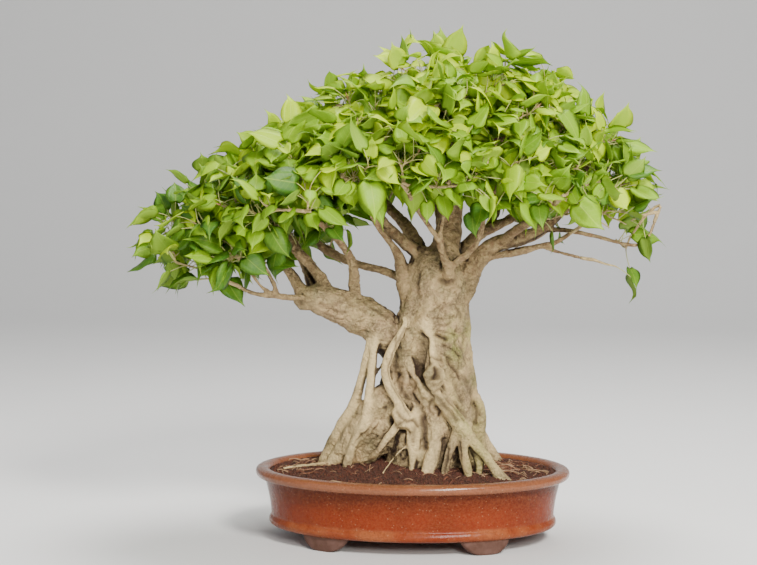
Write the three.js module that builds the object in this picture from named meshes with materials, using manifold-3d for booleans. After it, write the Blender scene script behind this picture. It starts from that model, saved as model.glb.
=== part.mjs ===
// A fig tree grown as a bonsai in an oval glazed pot, in millimetres, +Z up.
// X runs along the pot's length, Z = 0 is the plane that the pot's feet stand on, and the origin
// lies below the middle of the whole plant. The tree is one piece of wood: trunk, roots and limbs.
// Each limb ends in a leafy shoot of its own, and the roots stand in holes in the soil.
import * as THREE from 'three';
import { mergeVertices } from 'three/addons/utils/BufferGeometryUtils.js';
import Module from 'manifold-3d';

const wasm = await Module();
wasm.setup();

// ---------------------------------------------------------------- driving dimensions

const POT_PLACE = [15, -4];           // middle of the pot, below the lowest part of the trunk
const TREE_TURN = THREE.MathUtils.degToRad(6);   // the tree's own front against the pot's front

const POT_HALF_LENGTH = 225;          // outside of the lip
const POT_HALF_WIDTH = 166;
const POT_SEGMENTS = 36;
const RIM_TOP = 103;
const POT_UNDERSIDE = 20;
const POT_FLOOR = 32;                 // inside
const FOOT_HEIGHT = 23;               // sunk 3 mm into the underside
const FOOT_TOP_WIDTH = 76;
const FOOT_SOLE_WIDTH = 32;
const FOOT_THICKNESS = 15;
const FOOT_INSET = 25;                // outer face of a foot in from the outside of the lip
const FOOT_X = 116;                   // middle of each foot, along and across
const FOOT_CURVE_STEPS = 5;
const DRAIN_X = 96;
const DRAIN_RADIUS = 12;

const SCREEN_SIDE = 40;
const SCREEN_THICKNESS = 1.2;
const SCREEN_BAR = 4;
const SCREEN_HOLES = 2;               // along each side

const SOIL_EDGE = 97;                 // height of the soil along the pot's wall
const SOIL_MOUND = 15;                // and how much higher it lies at the trunk
const SOIL_RIPPLE = 1.1;
const GAP = 0.35;                     // air between pieces that touch

const CROWN_MIDDLE = [-17, 0, 430];   // middle of the crown's widest level
const CROWN_HALF = [386, 280, 307];
const CROWN_LEAN = 90;                // the top of the crown stands this far to the right
const CROWN_LOWEST = -0.17;           // lowest and highest shoots, as shares of its height
const CROWN_HIGHEST = 0.985;
const SHOOT_TIPS = 56;
const RIM_LIFT = 0.5;                 // the crown's front and back start this much higher
const SPIRAL_START = 0.55;            // of the spiral that the shoots lie on, in turns
const SHOOT_REACH = 0.91;             // shoots end at this share of the way out to the surface
const CROWN_SLOPE = 0.06;             // the crown's shoulders are this much flatter than an egg's
const TWIG_RADIUS = 1.8;
const TWIG_BEND = 14;                 // how far a twig bends aside to pass another piece
const TWIG_FOOT = 14;                 // shortest straight foot of a limb's first twig
const FORK_OFFSET = 4;                // its forks are this far apart
const SHORT_TWIG = 50;

const LEAVES_PER_SHOOT = 3;
const LEAF_LENGTH = 60;               // blade with its drawn-out tip
const LEAF_THICKNESS = 0.9;
const LEAF_TILT = 0.8;
const LEAF_TRIES = 12;
const PETIOLE = 21;
const WHORL_RADIUS = 3.2;             // of the hub that the stalks of one shoot share

// Blade of a leaf: across, towards the tip, and rise over the flat, as shares of its length. It
// starts and ends beside the stalk.
const LEAF_OUTLINE = [
  [0.016, 0.06, 0], [0.37, -0.02, 0.12], [0.32, 0.4, 0.1], [0, 1, -0.16],
  [-0.32, 0.4, 0.1], [-0.37, -0.02, 0.12], [-0.016, 0.06, 0],
];
// Its faces and the stalk's. Corner 0 is the hub's, 1 to 7 the blade's and 8 the next leaf's 0.
const LEAF_FACES = [
  [0, 1, 7], [0, 7, 8], [1, 2, 3], [1, 3, 4], [1, 4, 7], [4, 5, 7], [5, 6, 7],
];

const GOLDEN = (Math.sqrt(5) - 1) / 2;
const UP = new THREE.Vector3(0, 0, 1);

// The pot's section from the middle of its underside, over the lip, to the middle of its floor.
// Each point: how far in from the outside of the lip, and its height.
const POT_WALL = [
  [30, POT_UNDERSIDE], [22, 22], [19, 27], [22.5, 35], [19.5, 60],
  [13.5, 87.5], [3, 89], [0, 94.5], [1.5, 99.5], [6, 102.4], [11, RIM_TOP], [16.5, 102],
  [20.5, 98.5], [21.5, 94], [24, 84], [31, 46], [46, POT_FLOOR],
];

// Routes of the wood, each point x, y, z and the radius there. Y runs away from the front.
const TRUNK = {
  core: [[38, 0, 416, 20], [36, 0, 398, 38], [33, 0, 370, 46], [31, 0, 345, 47], [31, 0, 314, 47],
    [31, 0, 271, 50], [31, 0, 229, 54], [29, 0, 186, 59], [28, 0, 144, 64], [28, 0, 98, 60],
    [28, 0, 72, 50]],
  rightColumn: [[65, 0, 364, 17], [65, 4, 314, 18], [67, 5, 264, 20], [72, 4, 214, 20],
    [80, 0, 179, 19], [86, -5, 150, 19], [94, -10, 120, 15], [104, -15, 88, 12]],
  leftColumn: [[11, -15, 344, 22], [-1, -15, 301, 24], [-11, -15, 259, 27], [-18, -18, 217, 28],
    [-22, -18, 186, 28], [-39, -15, 157, 26], [-63, -8, 130, 20], [-88, 2, 98, 13]],
  leftTrunk: [[-20, -6, 262, 16], [-34, -10, 287, 26], [-54, -11, 309, 27], [-80, -12, 323, 26],
    [-114, -14, 338, 23], [-142, -16, 346, 19], [-163, -18, 341, 13]],
  hip: [[84, -5, 204, 12], [90, -10, 180, 14], [92, -12, 159, 13], [92, -14, 139, 11]],
};

const ROOTS = {
  vineRoot: [[-11, -40, 320, 4], [-12, -45, 308, 4.5], [-29, -47, 277, 6], [-38, -48, 251, 6.5],
    [-36, -49, 231, 6.5], [-25, -52, 209, 7], [-10, -58, 188, 7], [-1, -62, 174, 5.5]],
  vineKnob: [[-24, -50, 192, 9], [-15, -57, 180, 11], [-7, -60, 168, 8]],
  propNear: [[-48, -26, 306, 8.5], [-56, -36, 261, 6.5], [-61, -40, 215, 6.5], [-67, -42, 175, 7],
    [-78, -38, 153, 7], [-89, -30, 124, 6.5], [-96, -24, 92, 5.5]],
  propFar: [[-54, -20, 309, 8.5], [-60, -25, 280, 7.5], [-74, -22, 224, 7], [-85, -14, 189, 8.5],
    [-99, -2, 164, 9], [-116, 10, 131, 8], [-136, 20, 90, 6]],
  propLink: [[-55, -37, 236, 2.5], [-43, -31, 252, 2.5], [-30, -24, 271, 3]],
  massRoot: [[-29, -25, 215, 19], [-46, -27, 197, 21], [-63, -24, 173, 21], [-83, -16, 146, 18],
    [-106, -4, 117, 12], [-130, 6, 88, 8]],
  surfaceRoot: [[-18, -58, 174, 6.5], [-37, -57, 150, 5.5], [-50, -48, 130, 5], [-66, -30, 117, 4.2],
    [-88, -14, 111.5, 3.8], [-116, -6, 108.3, 3.4], [-148, -4, 104.5, 2.9], [-184, -6, 100.5, 2.2]],
  thinRoot: [[-6, -54, 144, 2.4], [-24, -64, 128, 2.2], [-40, -74, 108, 2], [-46, -78, 96, 1.8]],
  carrot: [[4, -48, 188, 8], [3, -54, 165, 11], [1, -57, 146, 10.5], [0, -59, 127, 7],
    [-1, -60, 96, 4.5]],
  legCentre: [[21, -45, 173, 12], [33, -57, 156, 13], [29, -66, 132, 11], [21, -72, 108, 10],
    [16, -75, 86, 8]],
  ridgeRoot: [[21, -38, 320, 7], [24, -48, 283, 7.5], [25, -52, 251, 10.5], [29, -56, 224, 11],
    [42, -58, 203, 11], [58, -62, 182, 11], [71, -66, 165, 10], [85, -72, 148, 7.5],
    [101, -78, 130, 7], [115, -85, 109, 7], [124, -90, 88, 5.5]],
  legNear: [[62, -62, 168, 7], [57, -68, 150, 6.5], [49, -75, 128, 6], [42, -80, 94, 4.5]],
  legMiddle: [[71, -64, 163, 7], [70, -75, 138, 7], [75, -81, 116, 7], [80, -84, 90, 5]],
  legRight: [[74, -58, 160, 7], [88, -66, 134, 7], [93, -71, 114, 6.5], [90, -74, 90, 5]],
  toe: [[110, -81, 118, 5.5], [124, -87, 106, 4.5], [138, -92, 92, 3.5]],
  sideArm: [[-4, -41, 260, 4.5], [3, -49, 241, 4.5], [13, -55, 222, 4.5], [26, -58, 208, 4.5]],
  backLeft: [[2, 26, 204, 18], [-24, 44, 160, 16], [-56, 58, 122, 11], [-86, 70, 88, 7]],
  backMiddle: [[34, 20, 376, 20], [28, 26, 310, 22], [24, 28, 250, 22], [17, 42, 196, 19],
    [8, 60, 148, 15], [-6, 84, 90, 8]],
  backRight: [[42, 28, 214, 18], [50, 54, 162, 17], [62, 78, 122, 12], [76, 98, 86, 7]],
  backSide: [[70, 20, 190, 15], [90, 40, 150, 14], [114, 56, 116, 10], [138, 68, 86, 6]],
};

const LIMBS = {
  leader: [[46, 0, 390, 32], [49, 4, 427, 21], [54, 8, 467, 17], [52, 8, 513, 13.5],
    [48, 6, 556, 10], [54, 4, 598, 7], [61, 0, 634, 4.5]],
  right: [[62, 0, 338, 20], [72, -2, 358, 20], [84, -8, 386, 16.5], [102, -13, 409, 14],
    [125, -16, 424, 12.5], [151, -14, 430, 11.5], [176, -7, 438, 9.5], [206, -1, 464, 8.5],
    [231, 4, 486, 7], [256, 8, 504, 5]],
  rightTop: [[206, -1, 464, 7], [232, -22, 508, 6], [250, -36, 546, 4.5]],
  behind: [[54, 16, 380, 17], [80, 40, 417, 10], [110, 60, 438, 8], [138, 76, 450, 7],
    [174, 94, 472, 6], [208, 110, 500, 4.5]],
  backRightLimb: [[110, 60, 438, 7], [128, 106, 470, 6], [142, 150, 500, 4.5]],
  lowerRight: [[86, -10, 391, 9], [111, -20, 404, 6.5], [140, -26, 410, 6], [164, -30, 416, 5.5],
    [182, -32, 421, 4.5], [200, -35, 425, 3.6], [220, -38, 438, 3]],
  lowerRightTip: [[182, -32, 419, 3.5], [208, -42, 411, 2.8], [234, -50, 405, 2.6]],
  longRight: [[182, -5, 441, 4.5], [210, -14, 442, 3.6], [236, -18, 438, 3.2], [266, -20, 431, 3],
    [300, -22, 422, 2.8], [322, -22, 422, 2.6], [334, -22, 436, 2.5], [340, -22, 452, 2.4]],
  frontRight: [[125, -20, 425, 9], [146, -62, 446, 7], [170, -112, 466, 5.5], [190, -150, 486, 4.5]],
  upperRight: [[52, 8, 513, 10], [92, 12, 548, 8], [138, 14, 580, 6.5], [178, 12, 602, 4.5]],
  upperLeft: [[26, 0, 384, 16], [9, -4, 406, 11], [-15, -8, 427, 9], [-36, -10, 446, 8.5],
    [-56, -10, 465, 7.5], [-78, -8, 488, 6.5], [-103, -4, 513, 5]],
  frontLeft: [[-36, -12, 446, 7], [-50, -50, 470, 6], [-68, -94, 492, 5], [-86, -134, 512, 4]],
  backLeftLimb: [[18, 2, 402, 11], [-4, 48, 438, 9], [-38, 96, 474, 7], [-76, 134, 506, 4.5]],
  backMiddleLimb: [[48, 10, 428, 12], [42, 62, 464, 9], [32, 116, 496, 7], [26, 158, 522, 4.5]],
  highLeft: [[49, 6, 556, 8], [10, 2, 582, 6.5], [-36, -2, 600, 5.5], [-76, -4, 610, 4.5]],
  highBack: [[52, 10, 500, 9], [58, 56, 546, 7], [62, 102, 584, 5.5], [60, 128, 606, 4.5]],
  highFront: [[54, -2, 470, 9], [50, -42, 508, 7], [40, -84, 552, 6], [32, -118, 592, 4.5]],
  stub: [[-1, -10, 342, 15], [-11, -14, 362, 12], [-15, -16, 386, 10], [-19, -17, 404, 8.5],
    [-30, -22, 422, 5], [-46, -32, 444, 4.2], [-60, -42, 468, 3.7], [-68, -50, 490, 3.2]],
  frontStub: [[52, -32, 362, 11], [50, -46, 382, 9], [47, -56, 397, 6.5], [39, -70, 421, 5],
    [37, -80, 442, 4.2], [42, -92, 469, 3.6], [46, -104, 496, 3]],
  frontMiddle: [[38, -74, 428, 4.5], [20, -110, 454, 4], [2, -146, 480, 3.6], [-8, -174, 500, 3.2]],
  frontFork: [[50, -50, 388, 6], [61, -60, 401, 5.2], [76, -68, 412, 4.8], [91, -78, 434, 4.2],
    [97, -88, 462, 3.8], [106, -98, 487, 3.4], [116, -110, 511, 3]],
  crossLeft: [[-6, 6, 366, 9], [-34, 19, 379, 6], [-67, 31, 387, 6], [-89, 38, 393, 6.5],
    [-112, 44, 404, 7], [-140, 50, 421, 6.5], [-167, 54, 443, 5.5], [-191, 56, 472, 4.4]],
  leftA: [[-77, -13, 325, 13], [-78, -16, 341, 9], [-81, -20, 360, 7.5], [-83, -24, 379, 7],
    [-88, -29, 404, 6], [-105, -35, 428, 4.6], [-129, -41, 452, 3.8], [-144, -46, 476, 3.4],
    [-152, -50, 500, 3]],
  leftFront: [[-88, -29, 404, 5.5], [-102, -76, 430, 5], [-122, -122, 452, 4.4], [-138, -158, 468, 3.6]],
  leftB: [[-117, -14, 338, 13], [-121, -13, 355, 10], [-130, -11, 373, 9], [-145, -7, 392, 8.5],
    [-162, -2, 410, 7.5], [-177, 6, 438, 5], [-194, 14, 467, 3.7]],
  leftC: [[-148, -16, 342, 14], [-159, -14, 358, 10], [-167, -7, 372, 8.5], [-179, 0, 386, 7],
    [-195, 10, 404, 5.8], [-215, 20, 427, 4.4], [-238, 28, 452, 3.5]],
  leftBack: [[-136, -8, 350, 10], [-152, 42, 384, 8], [-176, 92, 418, 6], [-198, 128, 444, 4.4]],
  leftLow: [[-123, -20, 338, 9], [-150, -30, 345, 6.5], [-172, -38, 348, 5], [-191, -45, 351, 4.4],
    [-209, -51, 353, 4], [-224, -56, 356, 3.6], [-240, -60, 364, 3]],
  leftLowCurl: [[-193, -46, 353, 3.6], [-208, -58, 362, 3], [-220, -70, 378, 2.8],
    [-232, -80, 398, 2.6]],
  leftLowUp: [[-190, -44, 351, 4], [-195, -47, 369, 3.4], [-205, -51, 388, 3.2], [-216, -55, 406, 3],
    [-221, -58, 426, 2.8], [-225, -60, 446, 2.6]],
};

// ---------------------------------------------------------------- solids and curves

// A closed geometry as a solid that can be joined and cut.
function solid(geometry) {
  const bare = new THREE.BufferGeometry();
  bare.setAttribute('position', geometry.getAttribute('position'));
  bare.setIndex(geometry.getIndex());
  const merged = mergeVertices(bare, 1e-4);
  return new wasm.Manifold(new wasm.Mesh({
    numProp: 3,
    vertProperties: new Float32Array(merged.getAttribute('position').array),
    triVerts: new Uint32Array(merged.getIndex().array),
  }));
}

// The solid's faces as a geometry, flat shaded.
function geometryOf(body) {
  const mesh = body.getMesh();
  const geometry = new THREE.BufferGeometry();
  geometry.setAttribute('position', new THREE.BufferAttribute(mesh.vertProperties, mesh.numProp));
  geometry.setIndex(new THREE.BufferAttribute(mesh.triVerts, 1));
  return geometry;
}

function union(bodies) {
  return bodies.reduce((whole, body) => whole.add(body));
}

// A number from 0 to 1 that is spread evenly as the index grows, and differs for each salt.
function spread(index, salt) {
  const value = (index + 1) * GOLDEN * salt + salt * salt * 0.137;
  return value - Math.floor(value);
}

// A point of the tree's own frame in the part's frame.
function treePoint(x, y, z) {
  const point = new THREE.Vector3(x, y, z).applyAxisAngle(UP, TREE_TURN);
  return point.add(new THREE.Vector3(...POT_PLACE, 0));
}

// A closed tube along a route of [point, radius] pairs. Its rings turn with the curve without
// twisting, there is one ring at each route point, and grow makes it thicker and longer.
function tube(route, sides, grow = 0) {
  const curve = new THREE.CatmullRomCurve3(route.map(([point]) => point), false, 'catmullrom', 0.5);
  const steps = route.length - 1;
  const rings = [];
  let side = new THREE.Vector3(0.31, 1, 0.17);
  for (let i = 0; i <= steps; i += 1) {
    const along = curve.getTangent(i / steps);
    side = side.clone().addScaledVector(along, -side.dot(along)).normalize();
    const end = (i === steps ? grow : 0) - (i === 0 ? grow : 0);
    rings.push({
      middle: route[i][0].clone().addScaledVector(along, end),
      side,
      up: side.clone().cross(along),
      radius: route[i][1] + grow,
    });
  }
  const geometry = new THREE.CylinderGeometry(1, 1, steps, sides, steps);
  const place = geometry.getAttribute('position');
  for (let i = 0; i < place.count; i += 1) {
    const ring = rings[Math.round(place.getY(i) + steps / 2)];
    const point = ring.middle.clone()
      .addScaledVector(ring.side, place.getX(i) * ring.radius)
      .addScaledVector(ring.up, place.getZ(i) * ring.radius);
    place.setXYZ(i, point.x, point.y, point.z);
  }
  return solid(geometry);
}

function routeOf(points) {
  return points.map(([x, y, z, radius]) => [treePoint(x, y, z), radius]);
}

function sidesFor(route) {
  const radius = Math.max(...route.map(([, r]) => r));
  if (radius > 40) return 11;
  if (radius > 17) return 7;
  if (radius > 9) return 6;
  return radius > 5 ? 5 : 4;
}

// ---------------------------------------------------------------- pot

// A body of oval rings, each [half length, half width, height], from the axis and back to it.
function ovalBody(rings) {
  const outline = rings.map(([halfLength, , z]) => new THREE.Vector2(halfLength, z));
  const geometry = new THREE.LatheGeometry(outline, POT_SEGMENTS);
  const place = geometry.getAttribute('position');
  for (let i = 0; i < place.count; i += 1) {
    const [halfLength, halfWidth, z] = rings[i % rings.length];
    const step = Math.floor(i / rings.length) % POT_SEGMENTS;
    const angle = step / POT_SEGMENTS * 2 * Math.PI;
    place.setXYZ(i, halfLength * Math.sin(angle), -halfWidth * Math.cos(angle), z);
  }
  geometry.translate(...POT_PLACE, 0);
  return geometry;
}

function ovalRing([inset, z]) {
  return [POT_HALF_LENGTH - inset, POT_HALF_WIDTH - inset, z];
}

// A foot follows the oval: its outline is a bracket, wide at the top and rounded in to the sole.
function foot(signX, signY) {
  const outline = new THREE.Shape();
  const top = FOOT_TOP_WIDTH / 2;
  const sole = FOOT_SOLE_WIDTH / 2;
  outline.moveTo(-sole, 0);
  outline.lineTo(sole, 0);
  outline.bezierCurveTo(sole + 6, 0.5, top - 6, 7, top, FOOT_HEIGHT - 7);
  outline.lineTo(top, FOOT_HEIGHT);
  outline.lineTo(-top, FOOT_HEIGHT);
  outline.lineTo(-top, FOOT_HEIGHT - 7);
  outline.bezierCurveTo(6 - top, 7, -sole - 6, 0.5, -sole, 0);
  const geometry = new THREE.ExtrudeGeometry(outline, {
    depth: FOOT_THICKNESS, bevelEnabled: false, steps: 1, curveSegments: FOOT_CURVE_STEPS,
  });
  const place = geometry.getAttribute('position');
  const halfLength = POT_HALF_LENGTH - FOOT_INSET;
  const halfWidth = POT_HALF_WIDTH - FOOT_INSET;
  const middle = Math.acos(FOOT_X / halfLength);
  for (let i = 0; i < place.count; i += 1) {
    const inset = place.getZ(i);
    const angle = middle - place.getX(i) / Math.hypot(halfLength * Math.sin(middle),
      halfWidth * Math.cos(middle));
    place.setXYZ(i,
      signX * (halfLength - inset) * Math.cos(angle),
      signY * (halfWidth - inset) * Math.sin(angle),
      place.getY(i));
  }
  if (signX * signY < 0) turnInsideOut(geometry);
  geometry.translate(...POT_PLACE, 0);
  return solid(geometry);
}

// Faces of a mirrored geometry point outwards again.
function turnInsideOut(geometry) {
  const place = geometry.getAttribute('position');
  const order = [];
  for (let i = 0; i < place.count; i += 3) order.push(i, i + 2, i + 1);
  geometry.setIndex(order);
}

function buildPot() {
  const wall = POT_WALL.map(ovalRing);
  const bowl = solid(ovalBody([[0, 0, POT_UNDERSIDE], ...wall, [0, 0, POT_FLOOR]]));
  const feet = [[1, -1], [-1, -1], [1, 1], [-1, 1]].map(([x, y]) => foot(x, y));
  return union([bowl, ...feet]).subtract(union([-1, 1].map(drainHole)));
}

function drainHole(sign) {
  const hole = new THREE.CylinderGeometry(DRAIN_RADIUS, DRAIN_RADIUS, 4 * POT_FLOOR, 16);
  hole.rotateX(Math.PI / 2);
  hole.translate(POT_PLACE[0] + sign * DRAIN_X, POT_PLACE[1], 0);
  return solid(hole);
}

// A square mesh that lies over a drain hole on the pot's floor. Grow gives the hollow it needs.
function screenPlate(sign, grow = 0) {
  const side = SCREEN_SIDE + 2 * grow;
  const plate = new THREE.BoxGeometry(side, side, SCREEN_THICKNESS + 2 * grow);
  plate.translate(POT_PLACE[0] + sign * DRAIN_X, POT_PLACE[1],
    POT_FLOOR + GAP + SCREEN_THICKNESS / 2);
  return solid(plate);
}

function buildScreen(sign) {
  const pitch = (SCREEN_SIDE - SCREEN_BAR) / SCREEN_HOLES;
  const offset = (i) => (i - (SCREEN_HOLES - 1) / 2) * pitch;
  const holes = [];
  for (let i = 0; i < SCREEN_HOLES; i += 1) {
    for (let j = 0; j < SCREEN_HOLES; j += 1) {
      const depth = 4 * SCREEN_THICKNESS;
      const hole = new THREE.BoxGeometry(pitch - SCREEN_BAR, pitch - SCREEN_BAR, depth);
      hole.translate(POT_PLACE[0] + sign * DRAIN_X + offset(i), POT_PLACE[1] + offset(j), POT_FLOOR);
      holes.push(solid(hole));
    }
  }
  return screenPlate(sign).subtract(union(holes));
}

// ---------------------------------------------------------------- soil

// The soil rises from the pot's wall to the trunk, with low ripples that fade at the wall.
function soilHeight(x, y, share) {
  const rise = SOIL_MOUND * (1 - share * share) ** 1.5;
  const ripple = Math.sin(x / 19 + 1) * Math.cos(y / 15) * SOIL_RIPPLE * (1 - share ** 6);
  return SOIL_EDGE + rise + ripple;
}

// Inset of the pot's inner wall at a height, between two of its section's points.
function innerInset(z) {
  const inner = POT_WALL.slice(POT_WALL.findIndex(([, height]) => height === RIM_TOP));
  const below = inner.findIndex(([, height]) => height <= z);
  const [[insetA, heightA], [insetB, heightB]] = [inner[below - 1], inner[below]];
  return insetA + (insetB - insetA) * (heightA - z) / (heightA - heightB);
}

function buildSoil(holes) {
  const bottom = POT_FLOOR + GAP;
  const wall = [[46 + 2 * GAP, bottom], [31 + GAP, 46], [24 + GAP, 84]];
  const edge = [innerInset(SOIL_EDGE) + GAP, SOIL_EDGE];
  const [halfLength, halfWidth] = ovalRing(edge);
  const shares = [1, 0.84, 0.64, 0.44, 0.2];
  const top = shares.map((share) => [halfLength * share, halfWidth * share, SOIL_EDGE]);
  const rings = [[0, 0, bottom], ...wall.map(ovalRing), ...top, [0, 0, SOIL_EDGE]];
  const geometry = ovalBody(rings);
  const place = geometry.getAttribute('position');
  for (let i = 0; i < place.count; i += 1) {
    const ring = i % rings.length;
    if (ring > wall.length) {
      const share = shares[ring - wall.length - 1] ?? 0;
      const [x, y] = [place.getX(i), place.getY(i)];
      place.setZ(i, soilHeight(x, y, share));
    }
  }
  const pockets = [-1, 1].map((sign) => screenPlate(sign, GAP));
  return solid(geometry).subtract(union([...holes, ...pockets]));
}

// ---------------------------------------------------------------- wood

const woodRoutes = Object.values({ ...TRUNK, ...ROOTS, ...LIMBS }).map(routeOf);
const woodTubes = woodRoutes.map((route) => tube(route, sidesFor(route)));

// What stands in the soil, a gap's width thicker, makes the holes that it stands in.
function soilHoles() {
  const planted = woodRoutes.filter((route) => route.some(([point]) => point.z < SOIL_EDGE + 30));
  return planted.map((route) => tube(route, sidesFor(route), GAP));
}

// ---------------------------------------------------------------- crown

// The crown is half an egg that leans to the right. A direction (u, v, w) of unit length and a
// share of the way out give a point.
function crownPoint(u, v, w, share) {
  return treePoint(
    CROWN_MIDDLE[0] + share * (CROWN_HALF[0] * u + CROWN_LEAN * w),
    CROWN_MIDDLE[1] + share * CROWN_HALF[1] * v,
    CROWN_MIDDLE[2] + share * CROWN_HALF[2] * w,
  );
}

// The outward direction of the crown's surface in the direction (u, v, w).
function crownNormal(u, v, w) {
  const outward = new THREE.Vector3(
    u / CROWN_HALF[0],
    v / CROWN_HALF[1],
    (w - u * CROWN_LEAN / CROWN_HALF[0]) / CROWN_HALF[2],
  );
  return outward.applyAxisAngle(UP, TREE_TURN).normalize();
}

// Shoot tips lie on a golden-angle spiral, so they cover the crown evenly from rim to top.
function shootTips() {
  const tips = [];
  for (let i = 0; i < SHOOT_TIPS; i += 1) {
    const angle = 2 * Math.PI * (GOLDEN * i + SPIRAL_START);
    const rim = CROWN_LOWEST + RIM_LIFT * Math.sin(angle) ** 2;
    const w = rim + (CROWN_HIGHEST - rim) * (i + 0.5) / SHOOT_TIPS;
    const u = Math.sqrt(1 - w * w) * Math.cos(angle);
    const v = Math.sqrt(1 - w * w) * Math.sin(angle);
    const slope = 1 - CROWN_SLOPE * 4 * w * w * (1 - w * w);
    const share = SHOOT_REACH * slope + 0.04 * (spread(i, 3.1) - 0.5);
    tips.push({ index: i, point: crownPoint(u, v, w, share), outward: crownNormal(u, v, w) });
  }
  return tips;
}

// Where a limb ends: the point, its direction, its radius and the shoot tips that it feeds.
function limbEnd(route) {
  const [[before], [point, radius]] = route.slice(-2);
  return { point, along: point.clone().sub(before).normalize(), radius, tips: [] };
}

// Each tip grows from the limb end that is near and points its way. An end that gets none
// carries a short twig of its own.
function feedTips(ends, tips) {
  tips.forEach((tip) => {
    const detour = ends.map((end) => {
      const way = tip.point.clone().sub(end.point);
      return way.length() * 1.4 - way.dot(end.along) * 0.4;
    });
    ends[detour.indexOf(Math.min(...detour))].tips.push(tip);
  });
  ends.filter((end) => end.tips.length === 0).forEach((end, i) => {
    const point = end.point.clone().addScaledVector(end.along, SHORT_TWIG);
    end.tips.push({ index: SHOOT_TIPS + i, point, outward: end.along });
  });
  ends.forEach((end) => {
    const turnOff = (tip) => tip.point.clone().sub(end.point).angleTo(end.along);
    end.tips.sort((one, other) => turnOff(one) - turnOff(other));
  });
}

// ---------------------------------------------------------------- leaves

// Directions round a shoot tip: outward, and two more along the crown's surface.
function tipFrame(outward) {
  const side = new THREE.Vector3().crossVectors(UP, outward);
  if (side.length() < 0.2) side.set(1, 0, 0).addScaledVector(outward, -outward.x);
  side.normalize();
  const downhill = new THREE.Vector3().crossVectors(side, outward);
  const away = (turn) => downhill.clone().multiplyScalar(Math.cos(2 * Math.PI * turn))
    .addScaledVector(side, Math.sin(2 * Math.PI * turn));
  return { outward, away };
}

// How one leaf of a shoot stands: its stalk fans out round the outward direction, the blade
// hangs over, and its upper side looks outwards, tilted a little to one side.
function leafStance(tip, k, attempt) {
  const { outward, away } = tipFrame(tip.outward);
  const seed = (tip.index * LEAVES_PER_SHOOT + k) * LEAF_TRIES + attempt;
  const turn = spread(tip.index, 3) + (k + 0.3 * (spread(seed, 1) - 0.5)) / LEAVES_PER_SHOOT;
  const fan = away(turn);
  const stalk = fan.clone().addScaledVector(outward, 0.35 + 0.6 * spread(seed, 4)).normalize();
  const droop = (0.2 + 0.5 * spread(seed, 2)) * (1 - Math.max(0, fan.z));
  const axis = fan.clone().addScaledVector(outward, 0.3 * spread(seed, 6))
    .addScaledVector(UP, -droop).normalize();
  const sideways = new THREE.Vector3().crossVectors(axis, outward);
  const normal = outward.clone().addScaledVector(sideways, (spread(seed, 5) - 0.5) * LEAF_TILT)
    .addScaledVector(UP, 0.25);
  normal.addScaledVector(axis, -normal.dot(axis)).normalize();
  return { stalk, axis, normal, length: LEAF_LENGTH * (0.78 + 0.3 * spread(seed, 7)) };
}

// The corners of one leaf's outline after the hub's, each with the upward direction there.
function leafCorners(point, { stalk, axis, normal, length }) {
  const across = new THREE.Vector3().crossVectors(axis, normal);
  const neck = point.clone().addScaledVector(stalk, PETIOLE);
  return LEAF_OUTLINE.map(([x, y, rise]) => [neck.clone()
    .addScaledVector(across, x * length)
    .addScaledVector(axis, y * length)
    .addScaledVector(normal, rise * length), normal]);
}

// The leaves of one shoot are thin plates that meet at a hub round the twig's end. Both sides of
// the plate have the same faces. A leaf whose stance is missing leaves only its corner of the hub.
function whorl(tip, stances, thickness) {
  const { outward, away } = tipFrame(tip.outward);
  const corners = [];
  const faces = [];
  const hub = [];
  stances.forEach((stance, k) => {
    const turn = spread(tip.index, 3) + (k - 0.5) / stances.length;
    const first = corners.length;
    hub.push(first);
    corners.push([tip.point.clone().addScaledVector(away(turn), WHORL_RADIUS), outward]);
    if (stance) {
      corners.push(...leafCorners(tip.point, stance));
      faces.push(...LEAF_FACES.map((face) => face.map((corner) => first + corner)));
    }
  });
  const count = corners.length;
  for (let k = 2; k < hub.length; k += 1) faces.push([hub[0], hub[k - 1], hub[k]]);
  const wrapped = faces.map((face) => face.map((corner) => corner % count));
  const index = wrapped.flatMap(([a, b, c]) => [a, b, c, a + count, c + count, b + count]);
  for (let i = 0; i < count; i += 1) {
    const next = (i + 1) % count;
    index.push(i, i + count, next, next, i + count, next + count);
  }
  const geometry = new THREE.BufferGeometry().setFromPoints([0.5, -0.5].flatMap((side) => corners
    .map(([point, up]) => point.clone().addScaledVector(up, side * thickness))));
  geometry.setIndex(index);
  return solid(geometry);
}

// ---------------------------------------------------------------- leafy shoots

// Bodies that later twigs and leaves have to keep clear of, each with its box.
const grown = woodTubes.map(boxed);

function boxed(body) {
  const { min, max } = body.boundingBox();
  return { body, box: new THREE.Box3(new THREE.Vector3(...min), new THREE.Vector3(...max)) };
}

function isClear(candidate, neighbours) {
  const { body, box } = boxed(candidate);
  return neighbours.every((other) => !other.box.intersectsBox(box)
    || other.body.intersect(body).isEmpty());
}

// The first twig of an end is as thick as the limb, leaves it along the limb and bends over to
// its tip. The others fork from its straight foot.
function twigRoute(end, tip, order, bend) {
  const start = end.point.clone().addScaledVector(end.along, GAP + order * FORK_OFFSET);
  const reach = start.distanceTo(tip.point);
  const shoulder = start.clone().addScaledVector(end.along, Math.max(reach * 0.25, TWIG_FOOT));
  const half = shoulder.clone().lerp(tip.point, 0.5)
    .addScaledVector(tip.outward, reach * -0.12).add(bend);
  const foot = order === 0
    ? [[start, end.radius * 0.92], [shoulder, TWIG_RADIUS * 1.5]]
    : [[start, TWIG_RADIUS]];
  return [...foot, [half, TWIG_RADIUS * 1.2], [tip.point, TWIG_RADIUS * 0.6]];
}

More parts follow.
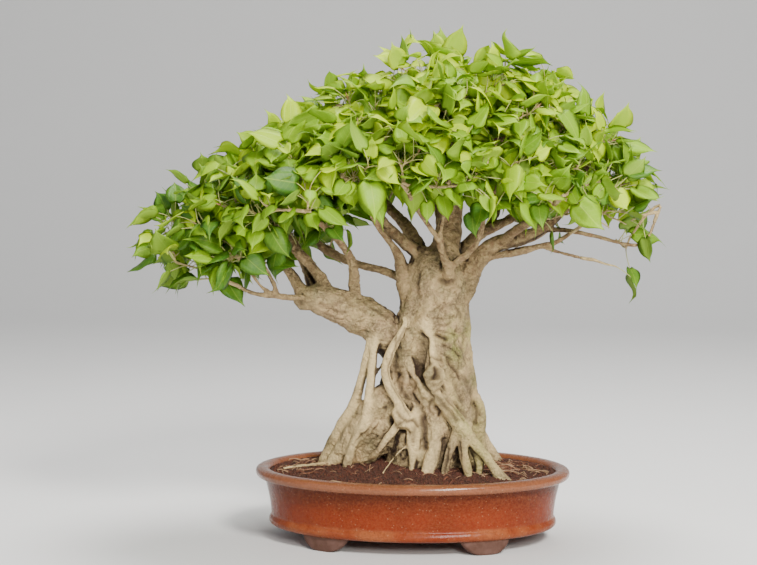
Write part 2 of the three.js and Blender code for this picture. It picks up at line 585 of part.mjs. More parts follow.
// The first of a few bends that takes the twig clear of all that has grown so far.
function clearTwig(end, tip, order) {
  const across = new THREE.Vector3().crossVectors(end.along, tip.outward).normalize();
  const over = new THREE.Vector3().crossVectors(across, end.along).normalize();
  const bends = [[0, 0], [0, 1], [1, 0], [-1, 0], [1, 1], [-1, 1], [0, 2], [2, 1], [-2, 1]];
  for (const [sideways, up] of bends) {
    const bend = across.clone().multiplyScalar(sideways * TWIG_BEND)
      .addScaledVector(over, up * TWIG_BEND);
    const route = twigRoute(end, tip, order, bend);
    const sides = order === 0 ? 4 : 3;
    const body = tube(route, sides);
    const others = grown.filter((other) => other.end !== end);
    if (isClear(body, others) && isClear(tube(route.slice(1), sides, 2 * GAP), others)) {
      return { route, body };
    }
  }
  return null;
}

// Two leaves of one shoot share its hub, and nothing else of them touches.
function meetAtHub(tip, body, sibling) {
  const shared = boxed(body.intersect(sibling)).box;
  return shared.distanceToPoint(tip.point) < WHORL_RADIUS
    && shared.getSize(new THREE.Vector3()).length() < 4 * WHORL_RADIUS;
}

// The leaves at a twig's tip. A leaf that finds no clear place in a few tries is left out.
function clearWhorl(tip, twig) {
  const others = grown.filter((other) => other.body !== twig.body);
  const guards = [];
  const stances = Array.from({ length: LEAVES_PER_SHOOT }, (_, k) => {
    for (let attempt = 0; attempt < LEAF_TRIES; attempt += 1) {
      const stance = leafStance(tip, k, attempt);
      const alone = Array.from({ length: LEAVES_PER_SHOOT }, (__, i) => (i === k ? stance : null));
      const guard = whorl(tip, alone, LEAF_THICKNESS + 4 * GAP);
      if (guards.every((sibling) => meetAtHub(tip, guard, sibling)) && isClear(guard, others)) {
        guards.push(guard);
        return stance;
      }
    }
    return null;
  });
  return whorl(tip, stances, LEAF_THICKNESS);
}

// All twigs grow before any leaf, because a twig has fewer ways round than a leaf has.
function growShoots() {
  const ends = Object.values(LIMBS).map(routeOf).map(limbEnd);
  feedTips(ends, shootTips());
  const shoots = ends.map((end) => end.tips.flatMap((tip, order) => {
    const twig = clearTwig(end, tip, order);
    if (!twig) return [];
    grown.push({ ...boxed(twig.body), end });
    return [{ tip, twig }];
  }));
  return shoots.filter((twigs) => twigs.length > 0).map((twigs) => {
    const whorls = twigs.map(({ tip, twig }) => {
      const leaves = clearWhorl(tip, twig);
      grown.push(boxed(leaves));
      return leaves;
    });
    return union([...twigs.map(({ twig }) => twig.body), ...whorls]);
  });
}

// ---------------------------------------------------------------- the whole plant

const bonsai = new THREE.Group();

function place(name, body, color, roughness) {
  const material = new THREE.MeshStandardMaterial({ color, roughness, metalness: 0 });
  material.flatShading = true;
  const mesh = new THREE.Mesh(geometryOf(body), material);
  mesh.name = name;
  bonsai.add(mesh);
}

place('pot', buildPot(), 0x9a3f22, 0.35);
place('soil', buildSoil(soilHoles()), 0x4a2418, 0.95);
place('drain_screen_left', buildScreen(-1), 0x1c1f1c, 0.6);
place('drain_screen_right', buildScreen(1), 0x1c1f1c, 0.6);
place('tree_wood', union(woodTubes), 0xa69c82, 0.8);
growShoots().forEach((shoot, i) => {
  place(`leafy_shoot_${String(i + 1).padStart(2, '0')}`, shoot, 0x7fae3a, 0.5);
});

export default bonsai;
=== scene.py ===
"""A fig tree grown as a bonsai in an oval glazed pot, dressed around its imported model.

Lengths are metres, except in the route tables, which are millimetres in the tree's own frame: X to
the right, Y away from the front, Z up, with the middle of the pot's feet as origin.
"""

from __future__ import annotations

import logging
import math
from dataclasses import dataclass, field, replace
from enum import Enum
from functools import cache

import bpy
import numpy as np
from bpy.types import Material, Mesh, Node, NodeSocket, NodeTree, Object
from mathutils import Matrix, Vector


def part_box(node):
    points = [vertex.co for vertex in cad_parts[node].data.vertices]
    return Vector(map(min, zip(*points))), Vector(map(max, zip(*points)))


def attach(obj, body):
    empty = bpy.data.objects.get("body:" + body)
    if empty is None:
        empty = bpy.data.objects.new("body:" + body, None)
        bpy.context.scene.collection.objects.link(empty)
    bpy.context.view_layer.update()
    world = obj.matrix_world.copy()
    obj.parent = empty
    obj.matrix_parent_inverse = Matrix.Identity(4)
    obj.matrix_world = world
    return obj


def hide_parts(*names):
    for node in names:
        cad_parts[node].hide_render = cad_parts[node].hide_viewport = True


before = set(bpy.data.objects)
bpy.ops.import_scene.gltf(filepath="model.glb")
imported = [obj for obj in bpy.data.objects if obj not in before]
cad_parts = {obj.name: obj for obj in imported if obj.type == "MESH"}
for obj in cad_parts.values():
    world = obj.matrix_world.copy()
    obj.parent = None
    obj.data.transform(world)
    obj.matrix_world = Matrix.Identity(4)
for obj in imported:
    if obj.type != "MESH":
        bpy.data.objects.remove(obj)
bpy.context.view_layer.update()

logging.basicConfig(level=logging.INFO, format="%(message)s")
LOG = logging.getLogger("bonsai")

Array = np.ndarray
Route = list[tuple[float, float, float, float]]
Colour = tuple[float, float, float]

MM = 0.001
UP = np.array([0.0, 0.0, 1.0])
GOLDEN = (math.sqrt(5) - 1) / 2
CHUNK = 4096  # vertices that nearest_sample looks at together
OTHER_WAY = [0, 3, 2, 1]  # a quad's corners the other way round
TREE_TURN = math.radians(6)
POT_LOW, POT_HIGH = (np.array(corner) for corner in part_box("pot"))
POT_PLACE = np.array([(POT_LOW[0] + POT_HIGH[0]) / 2, (POT_LOW[1] + POT_HIGH[1]) / 2, 0.0])
SHOOT_NODES = sorted(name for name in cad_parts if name.startswith("leafy_shoot"))

# Routes of the wood, each point x, y, z and the radius there, in millimetres.
TRUNK: dict[str, Route] = {
    "core": [(38, 0, 416, 20), (36, 0, 398, 38), (33, 0, 370, 46), (31, 0, 345, 47), (31, 0, 314, 47),
        (31, 0, 271, 50), (31, 0, 229, 54), (29, 0, 186, 59), (28, 0, 144, 64), (28, 0, 98, 60),
        (28, 0, 72, 50)],
    "right_column": [(65, 0, 364, 17), (65, 4, 314, 18), (67, 5, 264, 20), (72, 4, 214, 20),
        (80, 0, 179, 19), (86, -5, 150, 19), (94, -10, 120, 15), (104, -15, 88, 12)],
    "left_column": [(11, -15, 344, 22), (-1, -15, 301, 24), (-11, -15, 259, 27), (-18, -18, 217, 28),
        (-22, -18, 186, 28), (-39, -15, 157, 26), (-63, -8, 130, 20), (-88, 2, 98, 13)],
    "left_trunk": [(-20, -6, 262, 16), (-34, -10, 287, 26), (-54, -11, 309, 27), (-80, -12, 323, 26),
        (-114, -14, 338, 23), (-142, -16, 346, 19), (-163, -18, 341, 13)],
    "hip": [(84, -5, 204, 12), (90, -10, 180, 14), (92, -12, 159, 13), (92, -14, 139, 11)],
}

ROOTS: dict[str, Route] = {
    "vine_root": [(-11, -38, 320, 2.4), (-12, -43.5, 308, 3.8), (-29, -47, 277, 6), (-38, -48, 251, 6.5),
        (-36, -49, 231, 6.5), (-25, -52, 209, 7), (-10, -58, 188, 7), (-1, -62, 174, 5.5)],
    "vine_knob": [(-24, -50, 192, 9), (-15, -57, 180, 11), (-7, -60, 168, 8)],
    "prop_near": [(-48, -26, 306, 8.5), (-56, -36, 261, 6.5), (-61, -40, 215, 6.5), (-67, -42, 175, 7),
        (-78, -38, 153, 7), (-89, -30, 124, 6.5), (-96, -24, 92, 5.5)],
    "prop_far": [(-54, -20, 309, 8.5), (-60, -25, 280, 7.5), (-74, -22, 224, 7), (-85, -14, 189, 8.5),
        (-99, -2, 164, 9), (-116, 10, 131, 8), (-136, 20, 90, 6)],
    "prop_link": [(-55, -37, 236, 2.5), (-43, -31, 252, 2.5), (-30, -24, 271, 3)],
    "mass_root": [(-29, -25, 215, 19), (-46, -27, 197, 21), (-63, -24, 173, 21), (-83, -16, 146, 18),
        (-106, -4, 117, 12), (-130, 6, 88, 8)],
    "surface_root": [(-18, -58, 174, 6.5), (-37, -57, 150, 5.5), (-50, -48, 130, 5), (-66, -30, 117, 4.2),
        (-88, -14, 111.5, 3.8), (-116, -6, 108.3, 3.4), (-148, -4, 104.5, 2.9), (-184, -6, 100.5, 2.2)],
    "thin_root": [(-6, -54, 144, 2.4), (-24, -64, 128, 2.2), (-40, -74, 108, 2), (-46, -78, 96, 1.8)],
    "carrot": [(4, -48, 188, 8), (3, -54, 165, 11), (1, -57, 146, 10.5), (0, -59, 127, 7),
        (-1, -60, 96, 4.5)],
    "leg_centre": [(21, -45, 173, 12), (33, -57, 156, 13), (29, -66, 132, 11), (21, -72, 108, 10),
        (16, -75, 86, 8)],
    "ridge_root": [(21, -38, 320, 7), (24, -48, 283, 7.5), (25, -52, 251, 10.5), (29, -56, 224, 11),
        (42, -58, 203, 11), (58, -62, 182, 11), (71, -66, 165, 10), (85, -72, 148, 7.5),
        (101, -78, 130, 7), (115, -85, 109, 7), (124, -90, 88, 5.5)],
    "leg_near": [(62, -62, 168, 7), (57, -68, 150, 6.5), (49, -75, 128, 6), (42, -80, 94, 4.5)],
    "leg_middle": [(71, -64, 163, 7), (70, -75, 138, 7), (75, -81, 116, 7), (80, -84, 90, 5)],
    "leg_right": [(74, -58, 160, 7), (88, -66, 134, 7), (93, -71, 114, 6.5), (90, -74, 90, 5)],
    "toe": [(110, -81, 118, 5.5), (124, -87, 106, 4.5), (138, -92, 92, 3.5)],
    "side_arm": [(-4, -41, 260, 4.5), (3, -49, 241, 4.5), (13, -55, 222, 4.5), (26, -58, 208, 4.5)],
    "back_left": [(2, 26, 204, 18), (-24, 44, 160, 16), (-56, 58, 122, 11), (-86, 70, 88, 7)],
    "back_middle": [(34, 20, 376, 20), (28, 26, 310, 22), (24, 28, 250, 22), (17, 42, 196, 19),
        (8, 60, 148, 15), (-6, 84, 90, 8)],
    "back_right": [(42, 28, 214, 18), (50, 54, 162, 17), (62, 78, 122, 12), (76, 98, 86, 7)],
    "back_side": [(70, 20, 190, 15), (90, 40, 150, 14), (114, 56, 116, 10), (138, 68, 86, 6)],
}

LIMBS: dict[str, Route] = {
    "leader": [(46, 0, 390, 32), (49, 4, 427, 21), (54, 8, 467, 17), (52, 8, 513, 13.5), (48, 6, 556, 10),
        (54, 4, 598, 7), (61, 0, 634, 4.5)],
    "right": [(62, 0, 338, 20), (72, -2, 358, 20), (84, -8, 386, 16.5), (102, -13, 409, 14),
        (125, -16, 424, 12.5), (151, -14, 430, 11.5), (176, -7, 438, 9.5), (206, -1, 464, 8.5),
        (231, 4, 486, 7), (256, 8, 504, 5)],
    "right_top": [(206, -1, 464, 7), (232, -22, 508, 6), (250, -36, 546, 4.5)],
    "behind": [(54, 16, 380, 17), (80, 40, 417, 10), (110, 60, 438, 8), (138, 76, 450, 7),
        (174, 94, 472, 6), (208, 110, 500, 4.5)],
    "back_right_limb": [(110, 60, 438, 7), (128, 106, 470, 6), (142, 150, 500, 4.5)],
    "lower_right": [(86, -10, 391, 9), (111, -20, 404, 6.5), (140, -26, 410, 6), (164, -30, 416, 5.5),
        (182, -32, 421, 4.5), (200, -35, 425, 3.6), (220, -38, 438, 3)],
    "lower_right_tip": [(182, -32, 419, 3.5), (208, -42, 411, 2.8), (234, -50, 405, 2.6)],
    "long_right": [(182, -5, 441, 4.5), (210, -14, 442, 3.6), (236, -18, 438, 3.2), (266, -20, 431, 3),
        (300, -22, 422, 2.8), (322, -22, 422, 2.6), (334, -22, 436, 2.5), (340, -22, 452, 2.4)],
    "front_right": [(125, -20, 425, 9), (146, -62, 446, 7), (170, -112, 466, 5.5), (190, -150, 486, 4.5)],
    "upper_right": [(52, 8, 513, 10), (92, 12, 548, 8), (138, 14, 580, 6.5), (178, 12, 602, 4.5)],
    "upper_left": [(26, 0, 384, 16), (9, -4, 406, 11), (-15, -8, 427, 9), (-36, -10, 446, 8.5),
        (-56, -10, 465, 7.5), (-78, -8, 488, 6.5), (-103, -4, 513, 5)],
    "front_left": [(-36, -12, 446, 7), (-50, -50, 470, 6), (-68, -94, 492, 5), (-86, -134, 512, 4)],
    "back_left_limb": [(18, 2, 402, 11), (-4, 48, 438, 9), (-38, 96, 474, 7), (-76, 134, 506, 4.5)],
    "back_middle_limb": [(48, 10, 428, 12), (42, 62, 464, 9), (32, 116, 496, 7), (26, 158, 522, 4.5)],
    "high_left": [(49, 6, 556, 8), (10, 2, 582, 6.5), (-36, -2, 600, 5.5), (-76, -4, 610, 4.5)],
    "high_back": [(52, 10, 500, 9), (58, 56, 546, 7), (62, 102, 584, 5.5), (60, 128, 606, 4.5)],
    "high_front": [(54, -2, 470, 9), (50, -42, 508, 7), (40, -84, 552, 6), (32, -118, 592, 4.5)],
    "stub": [(-1, -10, 342, 15), (-11, -14, 362, 12), (-15, -16, 386, 10), (-19, -17, 404, 8.5),
        (-30, -22, 422, 5), (-46, -32, 444, 4.2), (-60, -42, 468, 3.7), (-68, -50, 490, 3.2)],
    "front_stub": [(52, -32, 362, 11), (50, -46, 382, 9), (47, -56, 397, 6.5), (39, -70, 421, 5),
        (37, -80, 442, 4.2), (42, -92, 469, 3.6), (46, -104, 496, 3)],
    "front_middle": [(38, -74, 428, 4.5), (20, -110, 454, 4), (2, -146, 480, 3.6), (-8, -174, 500, 3.2)],
    "front_fork": [(50, -50, 388, 6), (61, -60, 401, 5.2), (76, -68, 412, 4.8), (91, -78, 434, 4.2),
        (97, -88, 462, 3.8), (106, -98, 487, 3.4), (116, -110, 511, 3)],
    "cross_left": [(-6, 6, 366, 9), (-34, 19, 379, 6), (-67, 31, 387, 6), (-89, 38, 393, 6.5),
        (-112, 44, 404, 7), (-140, 50, 421, 6.5), (-167, 54, 443, 5.5), (-191, 56, 472, 4.4)],
    "left_a": [(-77, -13, 325, 13), (-78, -16, 341, 9), (-81, -20, 360, 7.5), (-83, -24, 379, 7),
        (-88, -29, 404, 6), (-105, -35, 428, 4.6), (-129, -41, 452, 3.8), (-144, -46, 476, 3.4),
        (-152, -50, 500, 3)],
    "left_front": [(-88, -29, 404, 5.5), (-102, -76, 430, 5), (-122, -122, 452, 4.4),
        (-138, -158, 468, 3.6)],
    "left_b": [(-117, -14, 338, 13), (-121, -13, 355, 10), (-130, -11, 373, 9), (-145, -7, 392, 8.5),
        (-162, -2, 410, 7.5), (-177, 6, 438, 5), (-194, 14, 467, 3.7)],
    "left_c": [(-148, -16, 342, 14), (-159, -14, 358, 10), (-167, -7, 372, 8.5), (-179, 0, 386, 7),
        (-195, 10, 404, 5.8), (-215, 20, 427, 4.4), (-238, 28, 452, 3.5)],
    "left_back": [(-136, -8, 350, 10), (-152, 42, 384, 8), (-176, 92, 418, 6), (-198, 128, 444, 4.4)],
    "left_low": [(-123, -20, 338, 9), (-150, -30, 345, 6.5), (-172, -38, 348, 5), (-191, -45, 351, 4.4),
        (-209, -51, 353, 4), (-224, -56, 356, 3.6), (-240, -60, 364, 3)],
    "left_low_curl": [(-193, -46, 353, 3.6), (-208, -58, 362, 3), (-220, -70, 378, 2.8),
        (-232, -80, 398, 2.6)],
    "left_low_up": [(-190, -44, 351, 4), (-195, -47, 369, 3.4), (-205, -51, 388, 3.2),
        (-216, -55, 406, 3), (-221, -58, 426, 2.8), (-225, -60, 446, 2.6)],
}


# The crown's lower edge in the front view, as x and z in millimetres.
HEM: list[tuple[float, float]] = [
    (-330, 354), (-260, 352), (-200, 382), (-150, 402), (-100, 414), (-50, 436), (20, 462),
    (100, 462), (150, 450), (200, 468), (260, 488), (320, 476), (360, 452)]

# What the front of the trunk shows, as lines of x, z in millimetres, the half width, how far it stands
# out (or in, below 0) and how dark the painted shade in it is.
MARKS: list[tuple[list[tuple[float, float]], float, float, float]] = [
    ([(22, 324), (6, 306), (-5, 286), (-10, 262), (-8, 236)], 9.5, 8.5, 0.0),
    ([(29, 244), (30, 238)], 11, 5, 0.0),
    ([(12, 297), (18, 288), (19, 278)], 2.6, -5, 1.0),
    ([(13, 284), (13, 262), (10, 244)], 6.5, -6.5, 0.66),
    ([(19, 290), (20, 272), (22, 256)], 3.0, -4.5, 0.95),
    ([(3, 168), (1, 158), (1, 148)], 4.6, -0.8, 0.6),
    ([(35, 296), (46, 290)], 2.6, -5, 1.0),
    ([(34, 303), (48, 300), (60, 294)], 1.5, -2.0, 0.7),
    ([(40, 270), (54, 262)], 1.6, -2.4, 0.8),
    ([(62, 300), (74, 296), (82, 298)], 1.5, -1.6, 0.5),
    ([(44, 286), (58, 279), (69, 270)], 1.6, 1.8, 0.0),
    ([(45, 277), (57, 270), (68, 258)], 1.6, 1.8, 0.0),
    ([(42, 282), (56, 275), (66, 266)], 1.6, -2.6, 0.9),
    ([(47, 264), (52, 254), (62, 243), (66, 232)], 2.4, -3.2, 0.85),
    ([(28, 254), (37, 244), (30, 230), (20, 242), (28, 254)], 4.2, 6.0, 0.0),
    ([(30, 250), (31, 242), (28, 236)], 2.8, -9, 1.0),
    ([(18, 262), (28, 266), (40, 260)], 2.0, -2.4, 0.6),
    ([(20, 222), (30, 218), (40, 224)], 2.0, -2.4, 0.6),
    ([(3, 262), (12, 241), (20, 222), (27, 210)], 3.2, -4, 0.85),
    ([(-2, 262), (4, 244), (12, 226)], 3.0, 2.0, 0.0),
    ([(31, 320), (45, 319), (56, 321)], 1.9, -2.2, 0.6),
    ([(30, 311), (44, 310), (54, 312)], 1.8, -2.0, 0.55),
    ([(33, 326), (47, 327), (64, 324)], 3.4, 2.2, 0.0),
    ([(34, 341), (48, 344), (60, 340)], 3.0, 1.8, 0.0),
    ([(42, 335), (54, 336)], 3.6, -1.6, 0.4),
    ([(38, 374), (46, 369), (57, 372)], 4.2, -4, 0.75),
    ([(8, 384), (5, 366), (8, 350)], 4, -3.4, 0.55),
    ([(66, 352), (62, 334), (66, 318)], 3.2, -2.4, 0.5),
    ([(-11, 306), (-28, 272), (-35, 247), (-30, 225), (-14, 204), (-5, 185)], 1.5, -1.8, 0.6),
    ([(-22, 268), (-26, 246), (-20, 226), (-6, 206)], 3.2, -2.6, 0.7),
    ([(30, 214), (44, 198), (60, 180)], 3.0, -3.0, 0.7),
    ([(70, 236), (80, 214), (86, 192)], 3.4, -2.6, 0.5),
    ([(2, 206), (12, 196), (16, 184)], 3.4, -3.2, 0.7),
    ([(41, 226), (43, 219)], 2.4, -4, 1.0),
    ([(22, 228), (30, 214), (36, 203)], 4.2, 3.4, 0.0),
    ([(33, 196), (38, 190), (36, 184)], 2.4, -4, 0.95),
    ([(26, 206), (22, 196), (28, 186)], 2.6, -3, 0.7),
    ([(48, 208), (62, 194), (72, 180)], 2.6, -2.8, 0.6),
    ([(-21, 190), (-12, 178), (-22, 170)], 2.6, -3, 0.7),
    ([(-10, 176), (2, 178), (9, 170)], 3.4, -4, 0.8),
    ([(-32, 178), (-20, 164), (-6, 160)], 3.2, -3.5, 0.85),
    ([(14, 182), (17, 160), (16, 138)], 4.5, -5, 0.95),
    ([(44, 150), (47, 128), (45, 108)], 4.5, -4, 0.9),
    ([(64, 150), (65, 132), (62, 112)], 3.0, -3, 0.8),
    ([(-52, 176), (-66, 158), (-84, 138)], 2.2, -2.4, 0.6),
    ([(-44, 196), (-58, 182), (-70, 160)], 3.0, 2.0, 0.0),
    ([(-50, 150), (-62, 140), (-78, 132)], 2.4, -2.4, 0.6),
    ([(56, 250), (60, 226), (70, 204)], 3.2, -2.4, 0.45),
    ([(76, 300), (70, 276), (76, 252)], 2.6, -2.0, 0.4),
    ([(84, 196), (92, 184), (88, 168)], 3.0, -3, 0.7),
    ([(92, 206), (100, 190), (98, 174)], 4.0, 2.6, 0.0),
    ([(4, 230), (-2, 214), (6, 200)], 2.8, -2.2, 0.5),
    ([(-60, 334), (-40, 322), (-22, 318)], 2.6, -2.2, 0.5),
    ([(-100, 352), (-84, 336), (-66, 330)], 2.4, -2.0, 0.45),
    ([(-130, 340), (-112, 330), (-94, 326)], 3.0, -2.2, 0.5),
    ([(-30, 300), (-22, 286), (-24, 268)], 2.8, -2.6, 0.6),
]


class Slot(Enum):
    """The record's material slots."""

    GLAZE = "glaze"
    BARK = "bark"
    SOIL = "soil"
    LEAF = "leaf"


# --- places and numbers


def turned(directions: Array, way: int = 1) -> Array:
    """Directions of the tree's own frame in the part's frame.

    Args:
        directions: any array whose last axis is x, y, z.
        way: -1 for the other way round.

    Returns:
        The directions, turned about the vertical by the tree's turn.
    """
    cos, sin = math.cos(TREE_TURN), way * math.sin(TREE_TURN)
    x, y, z = directions[..., 0], directions[..., 1], directions[..., 2]
    return stacked(x * cos - y * sin, x * sin + y * cos, z)


def tree_points(points: Array) -> Array:
    """Points of the tree's own frame, in millimetres, in the part's frame, in metres."""
    return turned(np.asarray(points, float)) * MM + POT_PLACE


def spread(index: Array | float, salt: float) -> Array:
    """Numbers from 0 to 1 that are spread evenly as the index grows: the fraction of the index
    times the golden ratio times the salt."""
    value = (np.asarray(index, float) + 1) * GOLDEN * salt + salt * salt * 0.137
    return value - np.floor(value)


def unit(vectors: Array) -> Array:
    """The vectors at length 1."""
    return vectors / np.maximum(np.linalg.norm(vectors, axis=-1, keepdims=True), 1e-12)


def norms(vectors: Array) -> Array:
    """Lengths of the vectors."""
    return np.linalg.norm(vectors, axis=-1)


def along(a: Array, b: Array) -> Array:
    """Dot product over the last axis, which is kept."""
    return np.sum(a * b, axis=-1, keepdims=True)


def stacked(*parts: Array) -> Array:
    """Arrays of one shape, side by side in a new last axis."""
    return np.stack(parts, axis=-1)


def smooth_step(low: float, high: float, values: Array) -> Array:
    """0 below low, 1 above high, and 3t² - 2t³ between them."""
    t = np.clip((values - low) / (high - low), 0, 1)
    return t * t * (3 - 2 * t)


def lattice_values(cells: Array, seed: int) -> Array:
    """A random number from 0 to 1 for each cell, from its three whole numbers and the seed.

    Args:
        cells: whole numbers, last axis of length 3.
        seed: another pattern for another seed.

    Returns:
        Numbers from 0 to 1 without the last axis.
    """
    mask = 0xFFFFFFFF
    mixed = (cells[..., 0] * 73856093) ^ (cells[..., 1] * 19349663) ^ (cells[..., 2] * 83492791)
    mixed = (mixed ^ (seed * 40503)) & mask
    mixed = ((mixed ^ (mixed >> 15)) * 2246822519) & mask
    mixed = ((mixed ^ (mixed >> 13)) * 3266489917) & mask
    return (mixed ^ (mixed >> 16)) / mask


def noise(points: Array, size: float, octaves: int = 1, seed: int = 0) -> Array:
    """Smooth noise from -1 to 1: random values at the corners of a lattice of cubes, blended
    inside each cube by a smooth step, plus the same at half the size and half the strength for
    each further octave.

    Args:
        points: where, last axis x, y, z.
        size: side of the largest cubes.
        octaves: how many sizes are added.
        seed: another pattern for another seed.

    Returns:
        One number for each point.
    """
    total = np.zeros(points.shape[:-1])
    weight = 0.0
    for octave in range(octaves):
        scaled = points / (size * 0.5**octave)
        cell = np.floor(scaled).astype(np.int64)
        share = scaled - cell
        share = share * share * (3 - 2 * share)
        value = np.zeros(points.shape[:-1])
        for corner in range(8):
            step = np.array([corner & 1, (corner >> 1) & 1, (corner >> 2) & 1])
            near = np.where(step == 1, share, 1 - share).prod(axis=-1)
            value += near * lattice_values(cell + step, seed + 17 * octave)
        total += (2 * value - 1) * 0.5**octave
        weight += 0.5**octave
    return total / weight


# --- curves and meshes


def smooth_route(route: Array, steps: int) -> Array:
    """A curve through every point of a route. Between two points it is the cubic whose slope at
    each is half the way from the point before to the point after.

    Args:
        route: points with any further values in columns, such as the radius.
        steps: how many samples from one point to the next.

    Returns:
        The samples, in the route's columns.
    """
    ends = np.vstack([2 * route[0] - route[1], route, 2 * route[-1] - route[-2]])
    before, start, end, after = ends[:-3], ends[1:-2], ends[2:-1], ends[3:]
    t = (np.arange(steps) / steps)[None, :, None]
    curve = 0.5 * (2 * start[:, None] + (end - before)[:, None] * t + (2 * before - 5 * start + 4 * end
        - after)[:, None] * t**2 + (3 * start - before - 3 * end + after)[:, None] * t**3)
    return np.vstack([curve.reshape(-1, route.shape[1]), route[-1:]])


def store(mesh: Mesh, values: dict[str, Array]) -> None:
    """Stores values at a mesh's vertices, by name.

    Args:
        mesh: the mesh.
        values: one array for each name.
    """
    for key, value in values.items():
        layer = mesh.attributes.new(key, "FLOAT", "POINT")
        layer.data.foreach_set("value", value.astype(np.float32))


def grid_quads(index: Array) -> Array:
    """The quads of a grid of vertex numbers."""
    return stacked(index[:-1, :-1], index[:-1, 1:], index[1:, 1:], index[1:, :-1]).reshape(-1, 4)


def tube_faces(rings: int, sides: int) -> list[Array]:
    """The quads between the rings of a closed tube, and the fans from its first and last ring to
    the two poles, which come after the rings.

    Args:
        rings: how many rings.
        sides: corners of each.

    Returns:
        Quads and triangles.
    """
    index = np.arange(rings * sides).reshape(rings, sides)
    index = np.column_stack([index, index[:, 0]])
    pole = np.full(sides, rings * sides)
    low = stacked(index[0, 1:], index[0, :-1], pole)
    high = stacked(index[-1, :-1], index[-1, 1:], pole + 1)
    return [grid_quads(index), np.vstack([low, high])]


def repeated(faces: list[Array], count: int, step: int) -> list[Array]:
    """The faces of one shape, for count copies with step vertices each."""
    starts = (np.arange(count) * step)[:, None, None]
    return [(kind + starts).reshape(-1, kind.shape[1]) for kind in faces]


@dataclass
class Shape:
    """Vertices, faces and values at the vertices, before they are a mesh."""

    vertices: Array
    faces: list[Array]
    values: dict[str, Array] = field(default_factory=dict)
    uv: Array | None = None

    @staticmethod
    def joined(shapes: list[Shape]) -> Shape:
        """All the shapes as one. They hold the same values.

        Args:
            shapes: the shapes.

        Returns:
            One shape.
        """
        starts = np.cumsum([0] + [len(s.vertices) for s in shapes])
        faces = [f + start for s, start in zip(shapes, starts) for f in s.faces]
        names = shapes[0].values
        return Shape(np.vstack([s.vertices for s in shapes]), faces,
            {name: np.concatenate([s.values[name] for s in shapes]) for name in names},
            None if shapes[0].uv is None else np.vstack([s.uv for s in shapes]))

    def mesh(self, name: str) -> Mesh:
        """A smooth-shaded mesh of this shape.

        Args:
            name: the mesh's name.

        Returns:
            The mesh, with each value as an attribute and with the UV map if there is one.
        """
        mesh = bpy.data.meshes.new(name)
        corners = np.concatenate([f.ravel() for f in self.faces]).astype(np.int32)
        counts = np.concatenate([np.full(len(f), f.shape[1]) for f in self.faces])
        starts = (np.cumsum(counts) - counts).astype(np.int32)
        mesh.vertices.add(len(self.vertices))
        mesh.vertices.foreach_set("co", self.vertices.astype(np.float32).ravel())
        mesh.loops.add(len(corners))
        mesh.loops.foreach_set("vertex_index", corners)
        mesh.polygons.add(len(starts))
        mesh.polygons.foreach_set("loop_start", starts)
        mesh.update(calc_edges=True)
        mesh.polygons.foreach_set("use_smooth", np.ones(len(starts), bool))
        store(mesh, self.values)
        if self.uv is not None:
            layer = mesh.uv_layers.new(name="UVMap")
            layer.data.foreach_set("uv", self.uv[corners].astype(np.float32).ravel())
        return mesh

    def piece(self, name: str, material: Material | None = None) -> Object:
        """An object that holds this shape, by the same name."""
        return new_object(name, self.mesh(name), material)


def sweep(points: Array, radii: Array, sides: int) -> Shape:
    """Closed tubes, all with the same number of rings. A ring's corner at angle a is the point
    plus the radius times (side cos a + up sin a), where side and up stand across the path, and
    each end closes in a pole a little way out.

    Args:
        points: tubes by rings by 3.
        radii: tubes by rings.
        sides: corners of each ring.

    Returns:
        The tubes as one shape, with the UV map's first axis round and the second along a tube.
    """
    tubes, rings = radii.shape
    tangent = unit(np.gradient(points, axis=1))
    mean = np.abs(tangent.mean(axis=1))
    reference = np.eye(3)[np.argmin(mean, axis=1)][:, None, :]
    side = unit(reference - along(reference, tangent) * tangent)
    up = np.cross(tangent, side)
    angle = np.arange(sides)[:, None] / sides * 2 * np.pi
    ring = side[:, :, None] * np.cos(angle) + up[:, :, None] * np.sin(angle)
    body = points[:, :, None] + ring * radii[:, :, None, None]
    reach = 0.4 * radii[..., None] * tangent
    poles = np.stack([points[:, 0] - reach[:, 0], points[:, -1] + reach[:, -1]], axis=1)
    vertices = np.concatenate([body.reshape(tubes, -1, 3), poles], axis=1)
    round_share = np.append(np.tile(np.arange(sides) / sides, rings), [0.5, 0.5])
    along_share = np.append(np.repeat(np.arange(rings) / (rings - 1), sides), [0, 1])
    faces = repeated(tube_faces(rings, sides), tubes, vertices.shape[1])
    uv = np.tile(stacked(round_share, along_share), (tubes, 1))
    return Shape(vertices.reshape(-1, 3), faces, uv=uv)


def finished(piece: Object, slot: Slot, *nodes: str) -> Object:
    """Lets a piece ride on the part and stand for CAD nodes.

    Args:
        piece: the new object.
        slot: not used.
        nodes: CAD nodes that the piece replaces.

    Returns:
        The same object.
    """
    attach(piece, "root")
    if nodes:
        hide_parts(*nodes)
    LOG.info("%s: %d faces", piece.name, len(piece.data.polygons))
    return piece


def new_object(name: str, mesh: Mesh, material: Material | None = None) -> Object:
    """An object at the origin that holds the mesh.

    Args:
        name: the object's name.
        mesh: its mesh.
        material: its material, if it has one yet.

    Returns:
        The object, linked to the scene.
    """
    piece = bpy.data.objects.new(name, mesh)
    bpy.context.scene.collection.objects.link(piece)
    if material:
        mesh.materials.append(material)
    return piece


def applied(piece: Object) -> Mesh:
    """The mesh that a piece has once its modifiers have run. The piece is removed.

    Args:
        piece: the object.

    Returns:
        Its final mesh.
    """
    bpy.context.view_layer.update()
    result = piece.evaluated_get(bpy.context.evaluated_depsgraph_get())
    mesh = bpy.data.meshes.new_from_object(result)
    bpy.data.objects.remove(piece)
    return mesh


# --- material nodes


